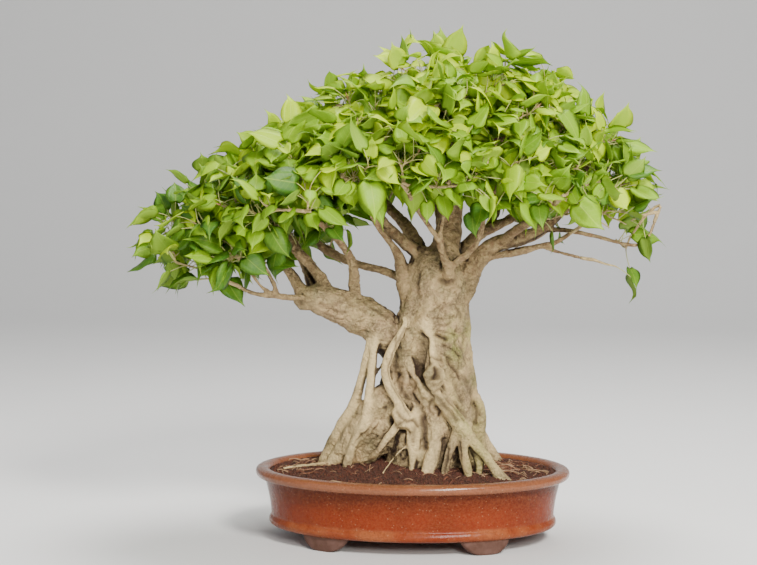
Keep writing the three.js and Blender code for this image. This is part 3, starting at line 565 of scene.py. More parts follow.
class Nodes:
    """Adds nodes to a tree and joins them, so a finish reads as a list of steps."""

    def __init__(self, tree: NodeTree) -> None:
        """Starts on an empty tree."""
        self.tree = tree
        tree.nodes.clear()

    def add(self, kind: str, **inputs: object) -> Node:
        """One node. Names of inputs have _ for a space, and names in small letters are the
        node's own settings.

        Args:
            kind: the node's type, such as ShaderNodeTexNoise.
            inputs: what its sockets and settings are, as sockets, numbers or colours.

        Returns:
            The node.
        """
        node = self.tree.nodes.new(kind)
        node.location = (220 * (len(self.tree.nodes) % 8), -260 * (len(self.tree.nodes) // 8))
        for name, value in inputs.items():
            if name[0].islower():
                setattr(node, name, value)
        for name, value in inputs.items():
            if not name[0].islower():
                self.put(node.inputs[name.replace("_", " ")], value)
        return node

    def put(self, socket: NodeSocket, value: object) -> None:
        """Links a socket to another, or sets its own value.

        Args:
            socket: the input.
            value: a socket, a number or a colour.
        """
        if isinstance(value, NodeSocket):
            self.tree.links.new(value, socket)
        elif isinstance(value, tuple) and socket.type == "RGBA" and len(value) == 3:
            socket.default_value = (*value, 1)
        else:
            socket.default_value = value

    def place(self) -> NodeSocket:
        """Object coordinates."""
        return self.add("ShaderNodeTexCoord").outputs["Object"]

    def stored(self, name: str) -> NodeSocket:
        """A value that the piece's own mesh holds."""
        return self.add("ShaderNodeAttribute", attribute_name=name).outputs["Fac"]

    def maths(self, operation: str, a: object, b: object = 0.0) -> NodeSocket:
        """One sum on two numbers.

        Args:
            operation: its name.
            a: the first.
            b: the second.

        Returns:
            The result.
        """
        node = self.add("ShaderNodeMath", operation=operation)
        self.put(node.inputs[0], a)
        self.put(node.inputs[1], b)
        return node.outputs[0]

    def times(self, a: object, b: object) -> NodeSocket:
        """The product of two numbers."""
        return self.maths("MULTIPLY", a, b)

    def principled(self, **inputs: object) -> NodeSocket:
        """The output of a Principled shader."""
        return self.add("ShaderNodeBsdfPrincipled", **inputs).outputs[0]

    def ramp(self, value: object, low: object, high: object) -> NodeSocket:
        """0 where the value is low, 1 where it is high, and smooth between them."""
        return self.add("ShaderNodeMapRange", interpolation_type="SMOOTHSTEP", Value=value,
            From_Min=low, From_Max=high).outputs["Result"]

    def mix(self, share: object, a: object, b: object) -> NodeSocket:
        """Colour a where the share is 0, and b where it is 1.

        Args:
            share: from 0 to 1.
            a: a colour.
            b: a colour.

        Returns:
            The colour.
        """
        node = self.add("ShaderNodeMix", data_type="RGBA")
        for number, value in ((0, share), (6, a), (7, b)):
            self.put(node.inputs[number], value)
        return node.outputs[2]

    def blend(self, share: object, a: float, b: float) -> NodeSocket:
        """Number a where the share is 0, and b where it is 1."""
        return self.add("ShaderNodeMapRange", Value=share, To_Min=a, To_Max=b).outputs["Result"]

    def tint(self, colour: object, other: object, mask: object, most: float) -> NodeSocket:
        """The colour, with up to the given share of the other where the mask is 1."""
        return self.mix(self.times(mask, most), colour, other)

    def mottle(self, place: object, size: float, seed: float = 0.0, detail: float = 3.0,
            rough: float = 0.55, contrast: float = 0.3) -> NodeSocket:
        """The shared mottle effect: soft patches of about the given size, as a mask.

        Args:
            place: coordinates.
            size: metres across a patch.
            seed: shifts the pattern.
            detail: how many finer octaves it has.
            rough: how strong they are.
            contrast: half the range of the noise that the mask runs over.

        Returns:
            The mask.
        """
        return self.add("ShaderNodeGroup", node_tree=mottle_group(), Place=place, Size=size, Seed=seed,
            Detail=detail, Roughness=rough, Contrast=contrast).outputs["Mask"]

    def specks(self, place: object, size: float, share: float) -> NodeSocket:
        """The shared speck effect: small irregular dots, as a mask.

        Args:
            place: coordinates.
            size: metres from one dot to the next.
            share: how large the dots are against that.

        Returns:
            The mask.
        """
        return self.add("ShaderNodeGroup", node_tree=speck_group(), Place=place, Size=size,
            Share=share).outputs["Mask"]

    def bump(self, height: object, distance: float, strength: float = 1.0, before: object
            | None = None) -> NodeSocket:
        """The normal of a surface that a height pushes out.

        Args:
            height: the height, from 0 to 1.
            distance: metres at 1.
            strength: from 0 to 1.
            before: a normal that it adds to.

        Returns:
            The normal.
        """
        node = self.add("ShaderNodeBump", Strength=strength, Distance=distance)
        self.put(node.inputs["Height"], height)
        if before is not None:
            self.put(node.inputs["Normal"], before)
        return node.outputs["Normal"]


def effect_group(name: str, *numbers: str) -> tuple[NodeTree, Nodes, object]:
    """A new node group with a place and some numbers as its inputs and one mask as its output.

    Args:
        name: the group's name.
        numbers: the names of its number inputs.

    Returns:
        The group, what adds nodes to it, and its inputs by name.
    """
    tree = bpy.data.node_groups.new(name, "ShaderNodeTree")
    tree.interface.new_socket(name="Place", in_out="INPUT", socket_type="NodeSocketVector")
    for number in numbers:
        tree.interface.new_socket(name=number, in_out="INPUT", socket_type="NodeSocketFloat")
    tree.interface.new_socket(name="Mask", in_out="OUTPUT", socket_type="NodeSocketFloat")
    nodes = Nodes(tree)
    return tree, nodes, nodes.add("NodeGroupInput").outputs


@cache
def mottle_group() -> NodeTree:
    """The group that makes soft patches: noise, then a smooth step round its middle.

    Returns:
        The group.
    """
    tree, nodes, given = effect_group("Mottle", "Size", "Seed", "Detail", "Roughness", "Contrast")
    texture = nodes.add("ShaderNodeTexNoise", noise_dimensions="4D", Vector=given["Place"],
        W=given["Seed"], Scale=nodes.maths("DIVIDE", 1.0, given["Size"]), Detail=given["Detail"],
        Roughness=given["Roughness"])
    low, high = (nodes.maths(way, 0.5, given["Contrast"]) for way in ("SUBTRACT", "ADD"))
    nodes.add("NodeGroupOutput", Mask=nodes.ramp(texture.outputs["Fac"], low, high))
    return tree


@cache
def speck_group() -> NodeTree:
    """The group that makes dots: 1 near the middle of each cell of a random mosaic.

    Returns:
        The group.
    """
    tree, nodes, given = effect_group("Specks", "Size", "Share")
    texture = nodes.add("ShaderNodeTexVoronoi", Vector=given["Place"], Scale=nodes.maths("DIVIDE", 1.0,
        given["Size"]))
    far = nodes.ramp(texture.outputs["Distance"], nodes.times(given["Share"], 0.5), given["Share"])
    nodes.add("NodeGroupOutput", Mask=nodes.maths("SUBTRACT", 1.0, far))
    return tree


@dataclass(frozen=True)
class Finish:
    """A material with a name. Each kind of finish says how its surface looks."""

    name: str

    def material(self) -> Material:
        """The material, built on first use.

        Returns:
            The material.
        """
        if self.name in bpy.data.materials:
            return bpy.data.materials[self.name]
        material = bpy.data.materials.new(self.name)
        material.use_nodes = True
        nodes = Nodes(material.node_tree)
        nodes.add("ShaderNodeOutputMaterial", Surface=self.surface(nodes))
        return material

    def surface(self, nodes: Nodes) -> NodeSocket:
        """The shader's output."""
        raise NotImplementedError


@dataclass(frozen=True)
class GlazeFinish(Finish):
    """Iron-red glaze on fired clay: brown and shiny where it ran thin on the lip, orange-red and finely
    specked on the wall, which darkens with painted shade towards the overhanging lip, and bare dull clay
    on the feet."""

    lip_bottom: float = 0.0885
    band_top: float = 0.036
    feet_top: float = 0.0205
    lip: Colour = (0.225, 0.081, 0.035)
    wall: Colour = (0.190, 0.023, 0.005)
    # A darker glaze tone for patches and freckles, and also the painted shade under the lip.
    wall_dark: Colour = (0.050, 0.0085, 0.0025)
    band: Colour = (0.30, 0.090, 0.032)
    clay: Colour = (0.075, 0.036, 0.024)
    clay_worn: Colour = (0.13, 0.07, 0.055)
    dot: Colour = (0.5, 0.3, 0.17)
    pit: Colour = (0.04, 0.018, 0.012)
    clay_roughness: Colour = (0.82, 0.82, 0.82)

    def surface(self, nodes: Nodes) -> NodeSocket:
        """Colour, roughness and relief.

        Args:
            nodes: adds nodes to the material.

        Returns:
            The shader's output.
        """
        place = nodes.place()
        height = nodes.add("ShaderNodeSeparateXYZ", Vector=place).outputs["Z"]
        wander = nodes.blend(nodes.mottle(place, 0.02), -0.002, 0.002)
        level = nodes.maths("ADD", height, wander)
        patches = nodes.mottle(place, 0.05, seed=3, detail=5, contrast=0.22)
        freckles = nodes.mottle(place, 0.0022, seed=5, detail=2, contrast=0.16)
        # Painted shade: from the band up to the lip the wall darkens towards wall_dark, for the shade
        # under the overhanging lip.
        lip_shade = nodes.ramp(level, self.band_top + 0.012, self.lip_bottom - 0.004)
        dark = nodes.times(lip_shade, 0.75)
        wall = nodes.mix(dark, self.wall, self.wall_dark)
        wall = nodes.tint(wall, self.wall_dark, patches, 0.34)
        wall = nodes.tint(wall, self.band, freckles, 0.26)
        lip = nodes.tint(self.lip, self.wall_dark, freckles, 0.35)
        lip = nodes.tint(lip, self.band, patches, 0.3)
        band = nodes.mix(patches, self.band, self.wall)
        band = nodes.tint(band, self.wall_dark, freckles, 0.3)
        colour = nodes.mix(nodes.ramp(level, self.band_top - 0.003, self.band_top + 0.003), band, wall)
        upper = nodes.ramp(level, self.lip_bottom - 0.002, self.lip_bottom + 0.001)
        colour = nodes.mix(upper, colour, lip)
        pale = nodes.specks(place, 0.006, 0.17)
        colour = nodes.tint(colour, self.dot, pale, 0.3)
        pits = nodes.specks(place, 0.011, 0.09)
        colour = nodes.tint(colour, self.pit, pits, 0.7)
        glazed = nodes.ramp(height, self.feet_top - 0.0015, self.feet_top + 0.0005)
        clay = nodes.mix(nodes.mottle(place, 0.012, detail=4), self.clay, self.clay_worn)
        colour = nodes.mix(glazed, clay, colour)
        shine = nodes.blend(nodes.mottle(place, 0.012, seed=9, detail=4), 0.2, 0.36)
        dull = nodes.mix(glazed, self.clay_roughness, shine)
        ripples = nodes.mottle(place, 0.016, seed=12, detail=3)
        normal = nodes.bump(freckles, 0.00008, before=nodes.bump(ripples, 0.0006))
        return nodes.principled(Base_Color=colour, Roughness=dull, Normal=normal,
            Specular_IOR_Level=0.15, Coat_Weight=nodes.times(glazed, nodes.blend(upper, 0.04, 0.5)),
            Coat_Roughness=0.2)


@dataclass(frozen=True)
class BarkFinish(Finish):
    """Pale fig bark: grey-beige with an olive cast, cream on young roots, warmer brown on the upper
    limbs, darkened there too as painted shade under the crown, painted shade in the folds, cracks and
    pits, and green where moss grows."""

    pale: Colour = (0.59, 0.43, 0.205)
    grey: Colour = (0.34, 0.28, 0.135)
    root: Colour = (0.79, 0.595, 0.30)
    # The brown of the limbs, made dark as painted shade under the crown.
    limb: Colour = (0.27, 0.155, 0.078)
    # The dark of painted shade, for folds, creases, hollows, cracks and pits.
    fold: Colour = (0.045, 0.024, 0.013)
    moss: Colour = (0.33, 0.36, 0.065)
    rosy: Colour = (0.50, 0.315, 0.195)
    rust: Colour = (0.46, 0.20, 0.06)

    def surface(self, nodes: Nodes) -> NodeSocket:
        """Colour, roughness and relief.

        Args:
            nodes: adds nodes to the material.

        Returns:
            The shader's output.
        """
        place = nodes.place()
        patches = nodes.mottle(place, 0.028, detail=5, contrast=0.14)
        blotches = nodes.mottle(place, 0.010, seed=2, detail=5, contrast=0.12)
        pores = nodes.mottle(place, 0.0032, seed=4, detail=4, rough=0.65, contrast=0.14)
        root = nodes.stored("root")
        gnarled = nodes.blend(root, 1.0, 0.2)
        blotches = nodes.times(blotches, gnarled)
        colour = nodes.mix(patches, self.pale, self.grey)
        colour = nodes.tint(colour, self.limb, blotches, 0.34)
        flush = nodes.mottle(place, 0.05, seed=15, detail=3, contrast=0.16)
        colour = nodes.tint(colour, self.rosy, flush, 0.42)
        colour = nodes.mix(root, colour, self.root)
        limb = nodes.tint(self.limb, self.pale, blotches, 0.6)
        # The stored limb mask: the limbs' brown, with painted shade that grows with height.
        colour = nodes.mix(nodes.stored("limb"), colour, limb)
        colour = nodes.mix(nodes.stored("rust"), colour, self.rust)
        mossy = nodes.times(nodes.stored("moss"), nodes.blend(pores, 0.45, 1.0))
        colour = nodes.mix(mossy, colour, self.moss)
        colour = nodes.tint(colour, self.grey, pores, 0.35)
        warts = nodes.specks(place, 0.0075, 0.42)
        colour = nodes.tint(colour, self.pale, warts, 0.3)
        # Painted shade: the fine cracks and the pits below are darkened with the fold colour.
        cracks = nodes.times(self.cracks(nodes, place), gnarled)
        colour = nodes.tint(colour, self.fold, cracks, 0.3)
        pits = nodes.mottle(place, 0.0042, seed=11, detail=4, rough=0.7, contrast=0.06)
        pits = nodes.times(nodes.ramp(pits, 0.55, 1.0), nodes.times(patches, gnarled))
        colour = nodes.tint(colour, self.fold, pits, 0.28)
        # Painted shade: the stored fold mask darkens creases, hollows, scars and places that other wood
        # closes in.
        colour = nodes.mix(nodes.stored("fold"), colour, self.fold)
        lumps = nodes.maths("ADD", nodes.times(pores, 0.4), nodes.times(warts, 0.4))
        height = nodes.maths("SUBTRACT", nodes.maths("ADD", lumps, blotches),
            nodes.maths("MAXIMUM", nodes.times(cracks, 0.6), pits))
        return nodes.principled(Base_Color=colour, Specular_IOR_Level=0.3, Roughness=nodes.blend(pores,
            0.68, 0.86), Normal=nodes.bump(height, 0.0018))

    def cracks(self, nodes: Nodes, place: NodeSocket) -> NodeSocket:
        """Fine cracks, as a mask: the borders of a bent mosaic, in patches.

        Args:
            nodes: adds nodes to the material.
            place: coordinates.

        Returns:
            The mask.
        """
        bent = nodes.add("ShaderNodeTexNoise", Vector=place, Scale=160.0, Detail=3.0)
        shift = nodes.add("ShaderNodeVectorMath", operation="SCALE", Scale=0.016)
        nodes.put(shift.inputs[0], bent.outputs["Color"])
        moved = nodes.add("ShaderNodeVectorMath", operation="ADD")
        nodes.put(moved.inputs[0], place)
        nodes.put(moved.inputs[1], shift.outputs[0])
        mosaic = nodes.add("ShaderNodeTexVoronoi", feature="DISTANCE_TO_EDGE", Vector=moved.outputs[0],
            Scale=95.0)
        lines = nodes.ramp(mosaic.outputs["Distance"], 0.09, 0.01)
        patch = nodes.ramp(nodes.mottle(place, 0.024, seed=8, detail=3, contrast=0.1), 0.45, 1.0)
        return nodes.times(lines, patch)


@dataclass(frozen=True)
class LeafFinish(Finish):
    """A fig leaf: yellow-green when young and deep green when older, with painted light that makes leaves
    at the crown's top and outside lighter and painted shade that makes leaves deep inside and low down
    darker, a pale midrib and side veins, a duller underside, and light that shines through it."""

    # The yellow-green of young leaves, also the painted light of leaves at the crown's top and outside.
    young: Colour = (0.66, 0.84, 0.0)
    ripe: Colour = (0.31, 0.54, 0.012)
    # The deep green of older leaves, also the painted shade of leaves deep inside and low in the crown.
    old_and_shaded: Colour = (0.050, 0.175, 0.022)
    vein: Colour = (0.58, 0.74, 0.09)
    under: Colour = (0.36, 0.52, 0.06)
    side_veins: float = 8.0
    under_roughness: Colour = (0.7, 0.7, 0.7)

    def surface(self, nodes: Nodes) -> NodeSocket:
        """Colour, roughness and relief.

        Args:
            nodes: adds nodes to the material.

        Returns:
            The shader's output.
        """
        place = nodes.place()
        tone = nodes.stored("tone")
        colour = nodes.mix(nodes.ramp(tone, 0.0, 0.45), self.old_and_shaded, self.ripe)
        colour = nodes.mix(nodes.ramp(tone, 0.45, 1.0), colour, self.young)
        patches = nodes.mottle(place, 0.012, detail=3, contrast=0.3)
        colour = nodes.tint(colour, self.ripe, patches, 0.35)
        uv = nodes.add("ShaderNodeSeparateXYZ", Vector=nodes.add("ShaderNodeUVMap").outputs[
            "UV"]).outputs
        across = nodes.maths("ABSOLUTE", nodes.maths("SUBTRACT", uv["X"], 0.5))
        midrib = nodes.ramp(across, 0.03, 0.008)
        slant = nodes.maths("SUBTRACT", uv["Y"], nodes.times(across, 0.55))
        wave = nodes.maths("FRACT", nodes.times(slant, self.side_veins))
        ribs = nodes.ramp(nodes.maths("ABSOLUTE", nodes.maths("SUBTRACT", wave, 0.5)), 0.1, 0.03)
        veins = nodes.maths("MAXIMUM", midrib, nodes.times(ribs, 0.38))
        colour = nodes.mix(nodes.times(veins, nodes.blend(tone, 0.3, 0.6)), colour, self.vein)
        under = nodes.stored("under")
        colour = nodes.tint(colour, self.under, under, 0.55)
        relief = nodes.maths("SUBTRACT", nodes.mottle(place, 0.004, seed=6, contrast=0.3), veins)
        normal = nodes.bump(relief, 0.0003, strength=0.6)
        sheen = nodes.blend(nodes.mottle(place, 0.02, seed=7), 0.36, 0.52)
        body = nodes.add("ShaderNodeBsdfPrincipled", Base_Color=colour, Normal=normal,
            Specular_IOR_Level=0.32, Roughness=nodes.mix(under, sheen, self.under_roughness))
        through = nodes.add("ShaderNodeBsdfTranslucent", Color=nodes.mix(0.3, colour, self.young))
        mixed = nodes.add("ShaderNodeMixShader", Fac=0.36)
        nodes.put(mixed.inputs[1], body.outputs[0])
        nodes.put(mixed.inputs[2], through.outputs[0])
        return mixed.outputs[0]


@dataclass(frozen=True)
class StalkFinish(Finish):
    """Young green wood and leaf stalks, from yellow-green at the leaf to tan at the twig."""

    green: Colour = (0.42, 0.47, 0.14)
    tan: Colour = (0.46, 0.31, 0.13)
    bud: Colour = (0.50, 0.24, 0.12)

    def surface(self, nodes: Nodes) -> NodeSocket:
        """Colour, roughness and relief.

        Args:
            nodes: adds nodes to the material.

        Returns:
            The shader's output.
        """
        place = nodes.place()
        tone = nodes.stored("tone")
        colour = nodes.mix(nodes.ramp(tone, 0.0, 0.5), self.tan, self.green)
        colour = nodes.mix(nodes.ramp(tone, 0.75, 1.0), colour, self.bud)
        spots = nodes.mottle(place, 0.003, detail=3)
        colour = nodes.tint(colour, self.tan, spots, 0.35)
        return nodes.principled(Base_Color=colour, Roughness=nodes.blend(spots, 0.4, 0.6),
            Normal=nodes.bump(spots, 0.0002))


@dataclass(frozen=True)
class SoilFinish(Finish):
    """Dark red-brown fired-clay grit with paler and darker grains."""

    dark: Colour = (0.024, 0.009, 0.006)
    red: Colour = (0.115, 0.024, 0.009)
    pale: Colour = (0.25, 0.085, 0.040)

    def surface(self, nodes: Nodes) -> NodeSocket:
        """Colour, roughness and relief.

        Args:
            nodes: adds nodes to the material.

        Returns:
            The shader's output.
        """
        place = nodes.place()
        damp = nodes.mottle(place, 0.03, detail=4, contrast=0.25)
        grit = nodes.mottle(place, 0.0016, seed=3, detail=3, contrast=0.2)
        colour = nodes.mix(nodes.stored("tone"), self.dark, self.red)
        colour = nodes.tint(colour, self.pale, grit, 0.4)
        colour = nodes.tint(colour, self.dark, damp, 0.5)
        return nodes.principled(Base_Color=colour, Roughness=nodes.blend(damp, 0.9, 0.62),
            Normal=nodes.bump(grit, 0.0006))


@dataclass(frozen=True)
class FibreFinish(Finish):
    """Fine dry roots and fibres on the soil, from cream to rust."""

    cream: Colour = (0.52, 0.37, 0.21)
    rust: Colour = (0.22, 0.075, 0.035)

    def surface(self, nodes: Nodes) -> NodeSocket:
        """Colour and roughness.

        Args:
            nodes: adds nodes to the material.

        Returns:
            The shader's output.
        """
        place = nodes.place()
        colour = nodes.mix(nodes.stored("tone"), self.rust, self.cream)
        spots = nodes.mottle(place, 0.006, detail=4)
        colour = nodes.tint(colour, self.rust, spots, 0.5)
        return nodes.principled(Base_Color=colour, Roughness=nodes.blend(spots, 0.7, 0.9))


@dataclass(frozen=True)
class ScreenFinish(Finish):
    """Moulded black plastic mesh, dusty with soil."""

    plastic: Colour = (0.018, 0.02, 0.018)
    dust: Colour = (0.13, 0.07, 0.045)

    def surface(self, nodes: Nodes) -> NodeSocket:
        """Colour, roughness and relief.

        Args:
            nodes: adds nodes to the material.

        Returns:
            The shader's output.
        """
        place = nodes.place()
        dusty = nodes.mottle(place, 0.008, detail=5, contrast=0.2)
        colour = nodes.tint(self.plastic, self.dust, dusty, 0.6)
        return nodes.principled(Base_Color=colour, Roughness=nodes.blend(dusty, 0.45, 0.85),
            Normal=nodes.bump(dusty, 0.0002))


@dataclass(frozen=True)
class FloorFinish(Finish):
    """Plain pale studio paper."""

    paper: Colour = (0.78, 0.78, 0.77)
    fleck: Colour = (0.72, 0.72, 0.71)

    def surface(self, nodes: Nodes) -> NodeSocket:
        """Colour and roughness.

        Args:
            nodes: adds nodes to the material.

        Returns:
            The shader's output.
        """
        grain = nodes.mottle(nodes.place(), 0.15, detail=2)
        colour = nodes.tint(self.paper, self.fleck, grain, 0.15)
        return nodes.principled(Base_Color=colour, Roughness=0.85)


# --- pot


@dataclass
class Pot:
    """The oval pot: lip, wall, band, bracket feet and drain holes."""

    half_length: float = (POT_HIGH[0] - POT_LOW[0]) / 2
    half_width: float = (POT_HIGH[1] - POT_LOW[1]) / 2
    underside: float = 0.020
    floor: float = 0.032
    segments: int = 160
    foot_x: float = 0.116
    foot_inset: float = 0.025
    foot_thickness: float = 0.015
    foot_height: float = 0.023
    foot_top: float = 0.076
    foot_sole: float = 0.032
    drain_x: float = 0.096
    drain_radius: float = 0.012
    finish: GlazeFinish = GlazeFinish("iron_red_glaze")

    def section(self) -> Array:
        """The wall's section from the underside over the lip to the floor, in and up, as a
        smooth curve through its marks.

        Returns:
            Inset and height of each point.
        """
        outside = np.array([(30, 20), (24.5, 20.3), (21.4, 21.8), (19.4, 24.6), (19.1, 28.2),
            (20.6, 31.6), (22.4, 34.2), (22.5, 38), (21.4, 48), (19.5, 60), (16.4, 74), (13.7, 84.5),
            (11.4, 87.7), (7, 88.3), (3, 89.6), (0.9, 92), (0.1, 95), (0.5, 98), (2, 100.4), (4.8, 102),
            (8, 102.8), (11.4, 103), (15, 102.4), (18.2, 100.9), (20.4, 98.2), (21.5, 94), (24, 84),
            (27.6, 65), (31, 46), (36, 37), (46, 32)], float)
        return smooth_route(outside, 4) * MM

    def body(self) -> Shape:
        """The bowl: the section carried round the oval. The point at angle a has
        x = (half length - inset) sin a and y = -(half width - inset) cos a.

        Returns:
            The closed bowl.
        """
        inset, height = self.section().T
        angle = np.arange(self.segments) / self.segments * 2 * np.pi
        x = (self.half_length - inset)[:, None] * np.sin(angle)
        y = -(self.half_width - inset)[:, None] * np.cos(angle)
        z = np.broadcast_to(height[:, None], x.shape)
        rings = stacked(x, y, z)
        middles = np.array([[0, 0, self.underside], [0, 0, self.floor]])
        vertices = np.vstack([rings.reshape(-1, 3), middles]) + POT_PLACE
        return Shape(vertices, tube_faces(len(inset), self.segments))

    def foot(self, sign_x: int, sign_y: int) -> Shape:
        """A bracket foot. Its outline is wide at the top and rounded in to the sole, by the
        power 2.2 of the height left, and it is carried along the oval. Its faces bulge by a
        power curve, so the edges are round.

        Args:
            sign_x: 1 for a foot on the right.
            sign_y: 1 for a foot at the back.

        Returns:
            The closed foot.
        """
        levels, steps, layers = 12, 24, 9
        height = np.linspace(0, 1, levels)
        flare = self.foot_sole / 2 + (self.foot_top - self.foot_sole) / 2 * (1 - (1 - height) ** 2.2)
        round_sole = np.sqrt(1 - np.clip(1 - height / 0.16, 0, 1) ** 2)
        half = flare - 0.0035 * (1 - round_sole)
        across = np.linspace(-1, 1, steps)
        depth = np.linspace(-1, 1, layers)
        edge = (1 - np.abs(across) ** 8) ** 0.35
        h, a, d = np.meshgrid(height, across, depth, indexing="ij")
        middle = math.acos(self.foot_x / (self.half_length - self.foot_inset))
        shrink = (1 - 0.22 * (1 - np.interp(h, height, round_sole))) * np.interp(a, across, edge)
        inset = self.foot_inset + self.foot_thickness * (0.5 + 0.5 * d * shrink)
        reach = math.hypot((self.half_length - self.foot_inset) * math.sin(middle),
            (self.half_width - self.foot_inset) * math.cos(middle))
        angle = middle - a * np.interp(h, height, half) / reach
        x = sign_x * (self.half_length - inset) * np.cos(angle)
        y = sign_y * (self.half_width - inset) * np.sin(angle)
        points = stacked(x, y, h * self.foot_height) + POT_PLACE
        return block(points, flip=sign_x * sign_y < 0)

    def build(self) -> Object:
        """The pot as one piece, with its drain holes cut.

        Returns:
            The piece.
        """
        feet = [self.foot(x, y) for y in (-1, 1) for x in (1, -1)]
        bowl = new_object("pot_blank", Shape.joined([self.body(), *feet]).mesh("pot"))
        rise = np.array([-0.01, 0.0, 0.06])[:, None] * UP
        drills = [sweep((POT_PLACE + [x, 0, 0] + rise)[None], np.full((1, 3), self.drain_radius), 40)
            for x in (-self.drain_x, self.drain_x)]
        cutter = Shape.joined(drills).piece("drain_drill")
        cut = bowl.modifiers.new("drain", "BOOLEAN")
        cut.object, cut.operation, cut.solver = cutter, "DIFFERENCE", "EXACT"
        cut.use_self = True
        mesh = smoothed(applied(bowl))
        bpy.data.objects.remove(cutter)
        mesh.set_sharp_from_angle(angle=math.radians(50))
        return finished(new_object("glazed_pot", mesh, self.finish.material()), Slot.GLAZE, "pot")


def block(points: Array, flip: bool = False) -> Shape:
    """The closed skin of a three-way grid of points.

    Args:
        points: grid by grid by grid by 3.
        flip: turns the faces the other way round.

    Returns:
        The skin. Corners that two sides share are one vertex.
    """
    index = np.arange(points[..., 0].size).reshape(points.shape[:3])
    sides = [(index[0], False), (index[-1], True), (index[:, 0], True), (index[:, -1], False),
        (index[:, :, 0], False), (index[:, :, -1], True)]
    faces = []
    for grid, turn in sides:
        quads = grid_quads(grid)[:, OTHER_WAY]
        faces.append(quads[:, ::-1] if turn != flip else quads)
    used, renumbered = np.unique(np.vstack(faces), return_inverse=True)
    return Shape(points.reshape(-1, 3)[used], [renumbered.reshape(-1, 4)])


# --- wood


